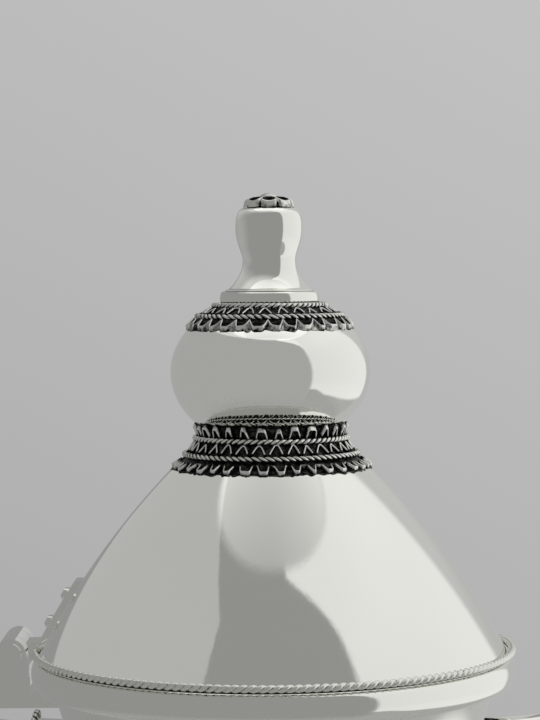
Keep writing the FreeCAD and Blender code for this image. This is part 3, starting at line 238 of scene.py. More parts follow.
def rope(name, path, radius, pitch, hand=1, seat=None, seed=1, worn=0.0):
    """Two round strands twisted about a path.

    Each strand's centre turns about the path at just under half the rope's radius, once per pitch, the two
    half a turn apart. Relief is how far a point of the skin stands out from the seat side, less in the
    groove between strands, and worn lifts it all over. An open rope tapers at its ends.
    """
    centre, out, up, closed = path
    count = len(centre)
    step = np.linalg.norm(np.diff(centre, axis=0, append=centre[:1] if closed else centre[-1:]), axis=1)
    length = step.sum()
    along = np.concatenate([[0], np.cumsum(step)[:-1]]) / length
    turns = max(1, round(length / pitch))
    wobble = np.random.default_rng(seed).normal(0, 1, (2, 12))
    order = np.arange(1, 13)[:, None]
    drift = (wobble[0][:, None] * np.sin(TAU * order * along) / order).sum(0) * 0.25
    sides = 10
    around = np.linspace(0, TAU, sides, endpoint=False)
    outward = out if seat is None else unit(seat)
    points, faces, tarnish_and_painted_light = [], [], []
    for strand in range(2):
        turn = hand * TAU * turns * along + np.pi * strand + drift
        lever = out * np.cos(turn)[:, None] + up * np.sin(turn)[:, None]
        middle = centre + lever * radius * 0.44
        if closed:
            tangent = unit(np.roll(middle, -1, axis=0) - np.roll(middle, 1, axis=0))
        else:
            tangent = unit(np.gradient(middle, axis=0))
        side = unit(lever - (lever * tangent).sum(-1, keepdims=True) * tangent)
        cross = np.cross(tangent, side)
        size = np.full(count, radius * 0.6)
        if not closed:
            to_end = np.minimum(along, 1 - along - step[0] / length) * length
            size = size * np.sqrt(np.clip(to_end / radius, 0.02, 1))
        ring = side[:, None] * np.cos(around)[None, :, None] + cross[:, None] * np.sin(around)[None, :, None]
        skin = middle[:, None] + ring * size[:, None, None]
        stand = ((skin - centre[:, None]) * outward[:, None]).sum(-1) / radius
        groove = np.cos(around)[None, :] * np.ones((count, 1))
        tarnish_and_painted_light.append(np.clip(0.15 + worn + 0.35 * stand + 0.55 * groove, 0, 1).ravel())
        faces.append(grid_faces(count, sides, closed, True, first=strand * count * sides))
        points.append(skin.reshape(-1, 3))
    return put_mesh(name, np.concatenate(points), np.concatenate(faces), np.concatenate(tarnish_and_painted_light))


def ring_rope(name, radius, height, wire, lenses, hand=1, lean=None, start=0.0, sweep=TAU, seed=1, worn=0.0):
    """Twisted wire round the axis; lenses is the number of strand crossings that show in one round."""
    count = int(lenses * 7)
    path = circle_path(radius, height, count, start, sweep)
    seat = None
    if lean is not None:
        seat = path[1] * math.cos(lean) + path[2] * math.sin(lean)
    return rope(name, path, wire, 2 * sweep * radius / lenses, hand, seat, seed, worn)


def ramp(value, low, high):
    """Smooth step from 0 at low to 1 at high."""
    t = np.clip((value - low) / (high - low), 0, 1)
    return t * t * (3 - 2 * t)


def lobe_wave(share):
    """Plain hanging lobe between two cusps: the root of a sine, as a share of the drop."""
    return np.sin(np.pi * share) ** 0.7


def cup_wave(share):
    """Hanging cup: a rounded bottom, arms that lean out going up, and a run under the rope to the next."""
    return 1 - ramp(np.abs(share - 0.5), 0.1, 0.34)


def broad_cup_wave(share):
    """Hanging cup with a broad bottom; neighbouring legs meet in a point under the rope."""
    return 1 - np.clip((np.abs(share - 0.5) - 0.14) / 0.36, 0, 1) ** 1.7


def cap_wave(share):
    """Standing cap: a short flat top, legs that lean out going down, and a run along the foot."""
    return ramp(np.abs(share - 0.5), 0.08, 0.37)


def arch_wave(share):
    """Small arch with a rounded point and bowed legs; its feet turn out onto the rope below."""
    away = np.clip(np.abs(share - 0.5) / 0.38, 0, None)
    return np.clip(away, 0, 1) ** 1.75 + 0.16 * np.clip(away - 1, 0, 1)


# How far strip bent by hand strays, in shares of a lobe's width or of the row's height
CUSP_WANDER = 0.05
LOBE_WANDER = 0.07
KINK_ROUND = 0.06
KINK_DROP = 0.065
KINKS_PER_LOBE = 3


def bent_wave(wave, count, steps, seed):
    """Angle and share of the drop of each point of a strip waved count times round the axis.

    Cusps and lobes wander, and seeded kinks joined by straight lines push every point along and down. The
    third array is the kinks' push downwards.
    """
    rng = np.random.default_rng(seed)
    share = np.arange(steps) / steps
    cusp = (np.arange(count + 1) + np.append(rng.normal(0, CUSP_WANDER, count), 0)) / count
    cusp[-1] = cusp[0] + 1
    angle = (TAU * (cusp[:-1, None] + share * np.diff(cusp)[:, None])).ravel()
    size = np.append(rng.normal(0, LOBE_WANDER, count), 0)
    size[-1] = size[0]
    wander = size[:-1, None] + np.diff(size)[:, None] * share
    tall = np.clip(wave(share) + wander * np.sin(np.pi * share), 0, 1.15).ravel()
    kinks = KINKS_PER_LOBE * count
    knot = np.linspace(0, kinks, len(angle), endpoint=False)
    along, down = (np.interp(knot, np.arange(kinks + 1), np.append(row, row[:1]))
                   for row in rng.normal(0, 1, (2, kinks)))
    angle = angle + KINK_ROUND * TAU / count * along
    return angle, np.clip(tall + KINK_DROP * down, 0, 1.12), down


def strip_row(name, meridian, count, wave, depth=STRIP_DEPTH, thick=STRIP, steps=32, stand=None, painted_lit_side=0,
              web=False, fade=None, hem=False, seed=3):
    """Band of flat strip set on edge, waved count times round the axis.

    The wave gives each point's share of the meridian from its top to its bottom. The section is a thin
    rectangle with a rounded outer edge, standing along the meridian's outward normal, or at the angle stand
    above level. The value that sets its tarnish and painted light runs from 0 at the seat, blackened, to 1 at
    the outer edge, and stays high on the side chosen as lit, which is a painted highlight; fade darkens it
    along the wave, from 0 at its first share of the meridian to full at its second. A web fills each lobe up
    to the row's top, and a hem hangs from the outer edge to a ragged line at the row's foot.
    """
    angle, tall, kink = bent_wave(wave, count, steps, seed)
    meridian = np.array(meridian, float)
    reach = np.concatenate([[0], np.cumsum(np.linalg.norm(np.diff(meridian, axis=0), axis=1))])
    reach /= reach[-1]
    slope = np.gradient(meridian, axis=0)
    way = (meridian[-1] - meridian[-2]) / (1 - reach[-2])
    beyond = np.clip(tall - 1, 0, None)
    r = np.interp(tall, reach, meridian[:, 0]) + beyond * way[0]
    z = np.interp(tall, reach, meridian[:, 1]) + beyond * way[1]
    if stand is None:
        normal_r = np.interp(tall, reach, -slope[:, 1])
        normal_z = np.interp(tall, reach, slope[:, 0])
    else:
        normal_r = np.full(len(tall), math.cos(math.radians(stand)))
        normal_z = np.full(len(tall), math.sin(math.radians(stand)))
    length = np.hypot(normal_r, normal_z)
    cos, sin = np.cos(angle), np.sin(angle)
    seat = np.stack([r * cos, r * sin, z], axis=-1)
    normal = np.stack([normal_r * cos, normal_r * sin, normal_z], axis=-1) / length[:, None]
    tangent = unit(np.roll(seat, -1, axis=0) - np.roll(seat, 1, axis=0))
    side = unit(np.cross(tangent, normal))
    edge = 0.5 * thick
    rise = [(edge, 0), (edge, 0.45 * depth), (edge, depth - edge), (0.6 * edge, depth - 0.25 * edge)]
    section = np.array([(-x, y) for x, y in rise] + [(0, depth)] + rise[::-1])
    points = seat[:, None] + side[:, None] * section[None, :, :1] + normal[:, None] * section[None, :, 1:]
    tarnish_and_painted_light = section[:, 1] / depth
    # Painted highlight: the face on the side chosen as lit keeps a high value
    lit = section[:, 0] * painted_lit_side > 0
    shown = np.ones(len(seat)) if fade is None else ramp(tall, *fade)
    tarnish_and_painted_light = (shown[:, None] * np.where(lit, 0.42 + 0.58 * tarnish_and_painted_light, tarnish_and_painted_light)).ravel()
    faces = grid_faces(len(seat), len(section), True, True)
    points = points.reshape(-1, 3)
    if web:
        rows = np.linspace(0, 1, 4)[:, None] * tall[None, :]
        web_r = np.interp(rows, reach, meridian[:, 0])
        web_z = np.interp(rows, reach, meridian[:, 1])
        sheet = np.stack([web_r * cos, web_r * sin, web_z], axis=-1) + 0.25 * depth * normal[None]
        faces = np.concatenate([faces, grid_faces(4, len(seat), False, True, first=len(points))])
        points = np.concatenate([points, sheet.reshape(-1, 3)])
        tarnish_and_painted_light = np.concatenate([tarnish_and_painted_light, np.zeros(4 * len(seat))])
    if hem:
        ragged = 1.0 + 0.14 * np.clip(kink[::-1], -1.2, 1.2)
        foot_r = meridian[-1, 0] + (ragged - 1) * way[0]
        foot_z = meridian[-1, 1] + (ragged - 1) * way[1]
        foot = np.stack([foot_r * cos, foot_r * sin, foot_z], axis=-1)
        edge_line = seat + 0.98 * depth * normal + 0.9 * edge * side * painted_lit_side
        drop_share = np.array([0, 0.12, 0.35, 0.7, 1])[:, None, None]
        sheet = edge_line[None] + (foot - edge_line)[None] * drop_share
        faces = np.concatenate([faces, grid_faces(5, len(seat), False, True, first=len(points))])
        points = np.concatenate([points, sheet.reshape(-1, 3)])
        tarnish_and_painted_light = np.concatenate([tarnish_and_painted_light, np.repeat([0.98, 0.67, 0.56, 0.52, 0.48], len(seat))])
    return put_mesh(name, points, faces, tarnish_and_painted_light)


def dome_centre():
    """Centre of the dome's arc, from its two ends and its radius."""
    rim = np.array([LID_RADIUS, LID_Z])
    skirt = np.array([SKIRT_RADIUS, SKIRT_Z])
    chord = skirt - rim
    inward = np.array([-chord[1], chord[0]]) / np.linalg.norm(chord)
    return (rim + skirt) / 2 + inward * math.sqrt(DOME_ARC**2 - (np.linalg.norm(chord) / 2) ** 2)


def dome_radius(height, offset=0.0):
    """Radius of the dome's surface, moved out by offset, at a height."""
    centre = dome_centre()
    return centre[0] + np.sqrt((DOME_ARC + offset) ** 2 - (np.asarray(height) - centre[1]) ** 2)


def dome_curve(offset, bottom, top, count=90):
    """(radius, height) points up the dome's arc."""
    z = np.linspace(bottom, top, count)
    return np.stack([dome_radius(z, offset), z], axis=-1)


def ball_curve(inset, start, end, count=80):
    """(radius, height) points of the ball's ellipse between two angles from its equator."""
    t = np.linspace(start, end, count)
    return np.stack([(BALL_RADIUS - inset) * np.cos(t), BALL_Z + (BALL_HALF - inset) * np.sin(t)], axis=-1)


def on_ball(radius, lift):
    """Point on the ball's upper side at a radius, moved out by lift along the ellipse's normal."""
    rise = BALL_HALF * np.sqrt(1 - (np.asarray(radius, float) / BALL_RADIUS) ** 2)
    normal = unit(np.stack([radius / BALL_RADIUS**2, rise / BALL_HALF**2], axis=-1))
    return np.stack([radius + lift * normal[..., 0], BALL_Z + rise + lift * normal[..., 1]], axis=-1)


def collar_ends():
    """Flare and throat ends of the lower collar's face line."""
    return np.array(COLLAR_FLARE), np.array([THROAT_RADIUS + BACKING, THROAT_Z])


def collar_inside(height, inset):
    """Radius at a height of the cone that lies inset behind the lower collar's face."""
    low, high = collar_ends()
    slope = (high[0] - low[0]) / (high[1] - low[1])
    return low[0] + slope * (height - low[1]) - inset * math.hypot(1, slope)


def on_collar(height, lift):
    """Point on the lower collar's face at a height, moved out by lift along its normal."""
    low, high = collar_ends()
    way = high - low
    out = np.array([way[1], -way[0]]) / np.linalg.norm(way)
    return low + way * (height - low[1]) / way[1] + lift * out


def bowl_curves(inset):
    """The bowl's lower and upper Beziers, moved in by inset."""
    base = BOWL_BASE - inset / math.sin(math.atan2(BOWL_SPREAD[1], BOWL_SPREAD[0]))
    belly = BELLY_RADIUS - inset
    waist = WAIST_RADIUS - inset
    below = BELLY_Z - 0.48 * (BELLY_Z - BOWL_Z)
    shoulder = SEAM_Z - BELLY_Z
    spread = (base + BOWL_SPREAD[0], BOWL_Z + BOWL_SPREAD[1])
    lower = bezier([(base, BOWL_Z), spread, (belly, below), (belly, BELLY_Z)], 56)
    upper = bezier([(belly, BELLY_Z), (belly, BELLY_Z + 0.42 * shoulder),
                    (waist, SEAM_Z - 0.45 * shoulder), (waist, SEAM_Z)], 72)
    return join(lower, upper)


def neck_curve(inset, count=80):
    """The neck's Bezier from the seam to the mouth, moved in by inset."""
    waist = WAIST_RADIUS - inset
    mouth = MOUTH_RADIUS - inset
    rise = NECK_TOP_Z - SEAM_Z
    flare = (mouth - NECK_FLARE[0], NECK_TOP_Z - NECK_FLARE[1])
    return bezier([(waist, SEAM_Z), (waist, SEAM_Z + 0.42 * rise), flare, (mouth, NECK_TOP_Z)], count)


def body_bowl(name):
    """Pear-shaped lower shell: outer and inner Beziers joined at the base edge and the seam."""
    return lathe(name, join(bowl_curves(0.0), bowl_curves(WALL)[::-1]), 256)


SPOUT_FROM = np.array([WAIST_RADIUS - 6.0, SEAT_Z - 33.0])
SPOUT_TO = np.array([MOUTH_RADIUS + 86.0, SEAT_Z - 7.0])
SPOUT_REACH = 102.0
SPOUT_RISE = 33.0
SPOUT_POLES = [
    SPOUT_FROM,
    SPOUT_FROM + (0.42 * SPOUT_REACH, 0.12 * SPOUT_RISE),
    (SPOUT_FROM[0] + 0.66 * SPOUT_REACH, SPOUT_TO[1] + 0.30 * SPOUT_RISE),
    SPOUT_TO,
]
SPOUT_ROOT = (21.0, 12.5)
SPOUT_TIP = (3.4, 3.0)
SPOUT_WALL = 1.2
BEAK_OPEN_FROM = 0.56
SPOUT_ROPE_AT = 0.3


def spout_frame(t):
    """Centre, tangent and upward normal of the spout's section at shares t of its length, all in X-Z."""
    p = np.array(SPOUT_POLES, float)
    s = np.asarray(t, float)[:, None]
    centre = (1 - s) ** 3 * p[0] + 3 * s * (1 - s) ** 2 * p[1] + 3 * s**2 * (1 - s) * p[2] + s**3 * p[3]
    tangent = bezier_tangent(SPOUT_POLES, t)
    return centre, tangent, np.stack([-tangent[:, 1], tangent[:, 0]], axis=-1)


def spout_half_sizes(t, inset):
    """Half height and half width of the spout's ellipse: root size easing down to tip size."""
    ease = (1 - np.asarray(t)) ** 1.6
    height = SPOUT_TIP[0] + (SPOUT_ROOT[0] - SPOUT_TIP[0]) * ease
    width = SPOUT_TIP[1] + (SPOUT_ROOT[1] - SPOUT_TIP[1]) * ease
    return height - inset, width - inset


def spout_open_angle(t, inset):
    """Angle from the spout's floor at which its wall meets the sloping plane that opens the beak."""
    start_centre, _, start_up = spout_frame([BEAK_OPEN_FROM])
    start = start_centre[0] + start_up[0] * spout_half_sizes(BEAK_OPEN_FROM, 0.0)[0]
    tip, way, _ = spout_frame([1.0])
    end = tip[0] + way[0] * SPOUT_TIP[0]
    run = (end - start) / np.linalg.norm(end - start)
    plane = np.array([-run[1], run[0]])
    centre, _, up = spout_frame(t)
    height, _ = spout_half_sizes(t, inset)
    level = ((centre - start) @ plane) / ((up @ plane) * height)
    return np.arccos(np.clip(level, -1, 1))


def carried_ellipse(centre, up, half_up, half_across, angle):
    """Ellipse carried along a line in the X-Z plane: down by the angle's cosine and across by its sine."""
    lift = -np.cos(angle) * half_up[:, None]
    side = np.sin(angle) * half_across[:, None]
    return np.stack([centre[:, :1] + up[:, :1] * lift, side, centre[:, 1:] + up[:, 1:] * lift], axis=-1)


def closed_tube(name, centre, skin, smooth_angle=None):
    """Tube of rings, its two ends closed to the ends of its centre line."""
    columns = skin.shape[1]
    ends = np.stack([centre[[0, -1], 0], [0, 0], centre[[0, -1], 1]], axis=-1)
    caps = np.broadcast_to(ends[:, None, None], (2, 1, columns, 3))
    rows = np.concatenate([caps[0], skin, caps[1]])
    faces = grid_faces(len(rows), columns, False, True)
    return put_mesh(name, rows.reshape(-1, 3), faces, smooth_angle=smooth_angle)


def spout_skin(t, inset, columns):
    """Points of the spout's wall: an ellipse at each t, from one beak edge under the floor to the other."""
    centre, _, up = spout_frame(t)
    height, width = spout_half_sizes(t, inset)
    limit = spout_open_angle(t, inset)
    return carried_ellipse(centre, up, height, width, limit[:, None] * np.linspace(-1, 1, columns))


def spout_shell(name):
    """Hollow beak: outer and inner skins joined along both beak edges; the root is trimmed by the neck."""
    t = np.concatenate([np.linspace(0.02, 0.5, 60, endpoint=False), np.linspace(0.5, 1.0, 110)])
    columns = 73
    outer = spout_skin(t, 0.0, columns)
    inner = spout_skin(t, SPOUT_WALL, columns)[:, ::-1]
    points = np.concatenate([outer, inner], axis=1)
    skins = grid_faces(len(t), 2 * columns, False, True)
    ends = np.arange(columns - 1)
    last = (len(t) - 1) * 2 * columns
    facing = 2 * columns - 1 - ends
    cap = np.stack([ends, ends + 1, facing - 1, facing], axis=-1)
    piece = put_mesh(name, points.reshape(-1, 3), np.concatenate([skins, cap, cap + last]))
    plug = lathe("spout_trim", join([(0, SEAM_Z - 9)], [(WAIST_RADIUS + SOLDER, SEAM_Z - 9)],
                                    neck_curve(-SOLDER), [(0, NECK_TOP_Z)]), 256, closed=False)
    return carved(piece, plug)


def carved(piece, tool):
    """The piece less the tool's solid, with the cut's edges kept sharp; the tool is deleted."""
    cut = piece.modifiers.new("cut", "BOOLEAN")
    cut.operation = "DIFFERENCE"
    cut.solver = "EXACT"
    cut.object = tool
    bpy.context.view_layer.update()
    seen = piece.evaluated_get(bpy.context.evaluated_depsgraph_get())
    mesh = bpy.data.meshes.new_from_object(seen)
    piece.modifiers.clear()
    old = piece.data
    piece.data = mesh
    mesh.name = old.name
    bpy.data.meshes.remove(old)
    bpy.data.objects.remove(tool)
    mesh.shade_smooth()
    mesh.set_sharp_from_angle(angle=math.radians(40))
    return piece


def body_neck(name):
    """Flared upper shell with the spout's channel cut through its wall."""
    piece = lathe(name, join(neck_curve(0.0), neck_curve(WALL)[::-1]), 256)
    t = np.linspace(0.0, 0.45, 40)
    centre, _, up = spout_frame(t)
    height, width = spout_half_sizes(t, SPOUT_WALL)
    skin = carried_ellipse(centre, up, height, width, np.linspace(0, TAU, 96, endpoint=False))
    return carved(piece, closed_tube("neck_cut", centre, skin))


def spout_rope(name):
    """Twisted wire on an ellipse round the spout near its root."""
    count = 420
    angle = np.linspace(0, TAU, count, endpoint=False)
    centre, way, up = spout_frame([SPOUT_ROPE_AT])
    height, width = spout_half_sizes(SPOUT_ROPE_AT, -(HEAVY_ROPE + SOLDER))
    rise = np.array([up[0, 0], 0, up[0, 1]])
    across = np.array([0.0, 1.0, 0.0])
    forward = np.array([way[0, 0], 0, way[0, 1]])
    middle = np.array([centre[0, 0], 0, centre[0, 1]])
    points = middle + np.cos(angle)[:, None] * rise * height + np.sin(angle)[:, None] * across * width
    out = unit(np.cos(angle)[:, None] * rise / height + np.sin(angle)[:, None] * across / width)
    path = (points, out, np.broadcast_to(forward, out.shape), True)
    return rope(name, path, HEAVY_ROPE, 3.4)


HANDLE_TOP_Z = SEAT_Z - 19.0
HANDLE_FOOT_Z = BELLY_Z + 18.0
HANDLE_OUT = (9.5, 9.5)
HANDLE_PULL = ((-58.0, 14.0), (-56.0, 10.0))
HANDLE_END = 5.2
HANDLE_MIDDLE = (7.2, 5.6)
SOCKET = (9.4, 6.6, 16.0)


def handle_poles():
    """Poles of the handle's centre line between its two socket mouths."""
    neck = neck_curve(0.0, 400)
    bowl = bowl_curves(0.0)
    upper = bowl[bowl[:, 1] >= BELLY_Z]
    top = np.array([-np.interp(HANDLE_TOP_Z, neck[:, 1], neck[:, 0]) - HANDLE_OUT[0], HANDLE_TOP_Z])
    foot = np.array([-np.interp(HANDLE_FOOT_Z, upper[:, 1], upper[:, 0]) - HANDLE_OUT[1], HANDLE_FOOT_Z])
    return np.array([top, top + HANDLE_PULL[0], foot + HANDLE_PULL[1], foot])


def handle_grip(name):
    """Oval grip: an ellipse carried along the handle's Bezier, fullest in the middle, ends closed."""
    poles = handle_poles()
    t = np.linspace(0, 1, 140)
    centre = bezier(poles, 140)
    tangent = bezier_tangent(poles, t)
    up = np.stack([-tangent[:, 1], tangent[:, 0]], axis=-1)
    swell = np.sin(np.pi * t)
    wide = HANDLE_END + (HANDLE_MIDDLE[0] - HANDLE_END) * swell
    deep = HANDLE_END + (HANDLE_MIDDLE[1] - HANDLE_END) * swell
    skin = carried_ellipse(centre, up, deep, wide, np.linspace(0, TAU, 72, endpoint=False))
    return closed_tube(name, centre, skin, smooth_angle=50)


def socket_end(which):
    """Mouth point and direction into the handle, as 3-D vectors; which is 0 above and 1 below."""
    poles = handle_poles()
    mouth, towards = (poles[0], poles[1]) if which == 0 else (poles[3], poles[2])
    way = (towards - mouth) / np.linalg.norm(towards - mouth)
    return np.array([mouth[0], 0, mouth[1]]), np.array([way[0], 0, way[1]])


def ring_about(way, count):
    """Outward unit vectors, evenly spaced round an axis in the X-Z plane."""
    angle = np.linspace(0, TAU, count, endpoint=False)[:, None]
    across = np.array([0.0, 1.0, 0.0])
    return np.cos(angle) * across + np.sin(angle) * np.cross(way, across)


def turned_about(name, profile, origin, way, segments=96):
    """Surface of revolution about any axis in the X-Z plane: profile is (radius, distance along way)."""
    profile = np.array(profile, float)
    points = origin + profile[:, None, :1] * ring_about(way, segments) + profile[:, None, 1:] * way
    faces = grid_faces(len(profile), segments, False, True)
    return put_mesh(name, points.reshape(-1, 3), faces, smooth_angle=40)


def handle_socket(name, which):
    """Tapered cup from the pot's wall to the handle's end; its root is trimmed by the pot's wall."""
    mouth, way = socket_end(which)
    root, lip, length = SOCKET
    profile = join([(0.0, -length)], straight((root, -length), (lip, -0.4), 24), [(lip - 0.15, -0.1)],
                   [(lip - 0.5, 0.0)], [(HANDLE_END, 0.0)], [(0.0, 0.0)])
    piece = turned_about(name, profile, mouth, way)
    if which == 0:
        wall = join([(0, SEAM_Z)], neck_curve(-SOLDER), [(0, NECK_TOP_Z)])
    else:
        wall = join([(0, BOWL_Z)], bowl_curves(-SOLDER), [(0, SEAM_Z)])
    return carved(piece, lathe(name + "_trim", wall, 256, closed=False))


def handle_rope(name, which):
    """Twisted wire round a socket's mouth."""
    mouth, way = socket_end(which)
    taper = (SOCKET[0] - SOCKET[1]) / SOCKET[2]
    radius = SOCKET[1] + 2 * taper * HEAVY_ROPE + HEAVY_ROPE + SOLDER
    out = ring_about(way, 260)
    path = (mouth - way * HEAVY_ROPE + out * radius, out, np.broadcast_to(way, out.shape), True)
    return rope(name, path, HEAVY_ROPE, 3.2)


def foot_ring(name):
    """Flared foot with a ledge for the base plate and a lip round it, edges softly broken."""
    inner = FOOT_RADIUS - FOOT_WALL
    under = FOOT_HEIGHT - 2
    tread = [(inner, 0), (FOOT_RADIUS, 0), (FOOT_RADIUS, FOOT_TREAD), (FOOT_SHOULDER, FOOT_HEIGHT)]
    lip = [(FOOT_LIP_OUTER, FOOT_HEIGHT), (FOOT_LIP_OUTER, BOWL_Z),
           (FOOT_LIP_INNER, BOWL_Z), (FOOT_LIP_INNER, FOOT_HEIGHT)]
    ledge = [(FOOT_LEDGE, FOOT_HEIGHT), (FOOT_LEDGE, under), (inner, under)]
    return lathe(name, rounded(tread + lip + ledge, 0.35), 256)


def mouth_rim(name):
    """Cap ring on the mouth with a half-round outer lip."""
    foot = NECK_TOP_Z - 4
    middle = (SEAT_Z + foot) / 2
    t = np.linspace(-np.pi / 2, np.pi / 2, 25)
    lip = np.stack([RIM_RADIUS - 1.5 + 1.5 * np.cos(t), middle + 3.0 * np.sin(t)], axis=-1)
    inner = MOUTH_RADIUS - WALL
    under = MOUTH_RADIUS + SOLDER
    edge = [(inner + 0.4, SEAT_Z), (inner + 0.1, SEAT_Z - 0.1), (inner, SEAT_Z - 0.4)]
    return lathe(name, join([(under, foot)], lip, edge, [(inner, NECK_TOP_Z), (under, NECK_TOP_Z)]), 256)


def lid_bezel(name):
    """Ring inside the lid's edge with a skirt that drops into the mouth."""
    neck = neck_curve(WALL, 300)
    foot, top = SEAT_Z - 4.0, LID_Z + 1.0
    outer = np.interp(foot, neck[:, 1], neck[:, 0]) - 0.7
    inner = outer - 1.2
    flange = dome_radius(top, -WALL) - SOLDER
    return lathe(name, rounded([(inner, foot), (outer, foot), (outer, LID_Z), (flange, LID_Z), (flange, top),
                                (inner, top)], 0.25))


def lid_dome(name):
    """Domed shell: outer arc, ledge, collar seat, flat crown with the stud's hole, and the same inside."""
    behind = BACKING + SOLDER
    step = COLLAR_STEP_Z
    outer = dome_curve(0.0, LID_Z + 0.25, step - 0.1, 120)
    inner = dome_curve(-WALL, LID_Z + 0.05, step - WALL, 60)[::-1]
    edge = [(dome_radius(LID_Z, -WALL), LID_Z), (dome_radius(LID_Z) - 0.25, LID_Z)]
    seat = [(dome_radius(step) - 0.1, step), (collar_inside(step, behind), step),
            (collar_inside(CROWN_Z, behind), CROWN_Z), (STUD_HOLE, CROWN_Z)]
    under = [(STUD_HOLE, CROWN_Z - WALL), (collar_inside(CROWN_Z, behind + WALL), CROWN_Z - WALL),
             (collar_inside(step, behind + WALL), step - WALL)]
    return lathe(name, join(edge, outer, seat, under, inner), 288, smooth_angle=30)


def ball_half(name, upper):
    """Half of the hollow ball; the upper half is open for the disc, the lower for the stud."""
    limit = math.acos(BALL_SEAT / BALL_RADIUS) if upper else -math.acos(STUD_HOLE / BALL_RADIUS)
    outer = ball_curve(0.0, 0.0, limit, 110)
    inner = ball_curve(1.0, 0.0, limit, 50)[::-1]
    return lathe(name, join(outer, inner), 256)


def finial_disc(name):
    """Low disc with softly rounded edges."""
    middle = DISC_Z + 0.5 * DISC_HEIGHT
    side = [(DISC_RADIUS - 0.1, DISC_Z), (DISC_RADIUS, middle), (DISC_RADIUS - 0.3, KNOB_Z)]
    return lathe(name, rounded([(STUD_HOLE, DISC_Z)] + side + [(STUD_HOLE, KNOB_Z)], 0.55, 7), 192)


def finial_knob(name):
    """Turned knob: thin lip, cone-shaped foot, neck, swelling head and rounded top, bored from below."""
    lip_r, foot_r, neck_r, head_r = 9.0, 8.0, 5.35, 6.72
    foot_z, neck_z, head_z, bore_z = KNOB_Z + 0.62, KNOB_Z + 6.1, KNOB_Z + 12.75, KNOB_Z + 9.0
    lip = bezier([(lip_r, KNOB_Z + 0.12), (lip_r, KNOB_Z + 0.4), (8.5, KNOB_Z + 0.3), (foot_r, foot_z)], 14)
    foot = bezier([(foot_r, foot_z), (6.95, KNOB_Z + 1.75), (neck_r, KNOB_Z + 3.7), (neck_r, neck_z)])
    head = bezier([(neck_r, neck_z), (neck_r, neck_z + 1.7), (head_r, head_z - 3.4), (head_r, head_z)])
    top = bezier([(head_r, head_z), (head_r, head_z + 2.3), (6.3, KNOB_TOP_Z - 0.3), (KNOB_TOP, KNOB_TOP_Z)])
    base = [(STUD_HOLE, KNOB_Z), (lip_r - 0.15, KNOB_Z)]
    bore = [(0.0, KNOB_TOP_Z), (0.0, bore_z), (STUD_HOLE, bore_z)]
    return lathe(name, join(base, lip, foot, head, top, bore), 192)


PETALS = 8
PETAL_LENGTH = 3.3
PETAL_WIDTH = 3.75
PETAL_HEIGHT = 1.5
PETAL_POWER = 3.4
PETAL_TILT = 19.0
PETAL_LEAN = 12.0
PETAL_END = KNOB_TOP + 0.25
BEAD = (1.75, 0.74)


def rosette_petals(name):
    """Ring of open cells: a thin strip carried round a tapered box with round corners, repeated.

    The plan is a superellipse of power PETAL_POWER, narrowed towards the axis. Each cell's walls lean in as
    they rise, and its foot and rim climb towards the middle; the rim dips at both ends.
    """
    count = 96
    t = np.linspace(0, TAU, count, endpoint=False)
    cos, sin = np.cos(t), np.sin(t)
    swell = (np.abs(cos) ** PETAL_POWER + np.abs(sin) ** PETAL_POWER) ** (-1 / PETAL_POWER)
    x = PETAL_END - PETAL_LENGTH / 2 + PETAL_LENGTH / 2 * cos * swell
    y = PETAL_WIDTH / 2 * sin * swell * (0.68 + 0.32 * cos * swell)
    path = np.stack([x, y], axis=-1)
    way = unit(np.roll(path, -1, axis=0) - np.roll(path, 1, axis=0))
    inward = np.stack([-way[:, 1], way[:, 0]], axis=-1)
    thick = 1.25 * STRIP
    across_wall = np.array([0, 0, 0.25, 0.5, 0.75, 1, 1]) * thick
    below_rim = np.array([PETAL_HEIGHT, 0.12, 0.02, 0, 0.02, 0.12, PETAL_HEIGHT])
    section = np.stack([across_wall, PETAL_HEIGHT - below_rim], axis=-1)
    flat = path[:, None] + inward[:, None] * section[None, :, :1]
    climb = (PETAL_END - flat[..., 0]) * math.tan(math.radians(PETAL_TILT))
    dip = 0.18 * np.clip(cos, 0, 1) ** 5 + 0.3 * np.clip(-cos, 0, 1)
    rise = section[None, :, 1] * (1 - dip)[:, None] + climb
    out = flat[..., 0] - math.tan(math.radians(PETAL_LEAN)) * rise
    turn = -np.pi / 2 + TAU * np.arange(PETALS) / PETALS
    across, along = np.cos(turn)[:, None, None], np.sin(turn)[:, None, None]
    points = np.stack([out * across - flat[..., 1] * along, out * along + flat[..., 1] * across,
                       np.broadcast_to(KNOB_TOP_Z + SOLDER + rise, (PETALS,) + rise.shape)], axis=-1)
    one = grid_faces(count, len(section), True, True)
    faces = np.concatenate([one + k * count * len(section) for k in range(PETALS)])
    outside = section[:, 0] < 0.6 * thick
    tarnish_and_painted_light = np.where(outside, 0.64 + 0.36 * (section[:, 1] / PETAL_HEIGHT) ** 4, 0.0)
    return put_mesh(name, points.reshape(-1, 3), faces, np.tile(tarnish_and_painted_light, PETALS * count), smooth_angle=60)


def rosette_seat(name):
    """Low dark cone under the petals."""
    tilt = math.tan(math.radians(PETAL_TILT))
    radius = PETAL_END - 2 * STRIP
    foot = KNOB_TOP_Z + SOLDER
    top = foot + 0.86 * tilt * radius
    return lathe(name, [(0, foot), (radius - 0.2, foot), (0.7, top), (0, top)], 96, closed=False)


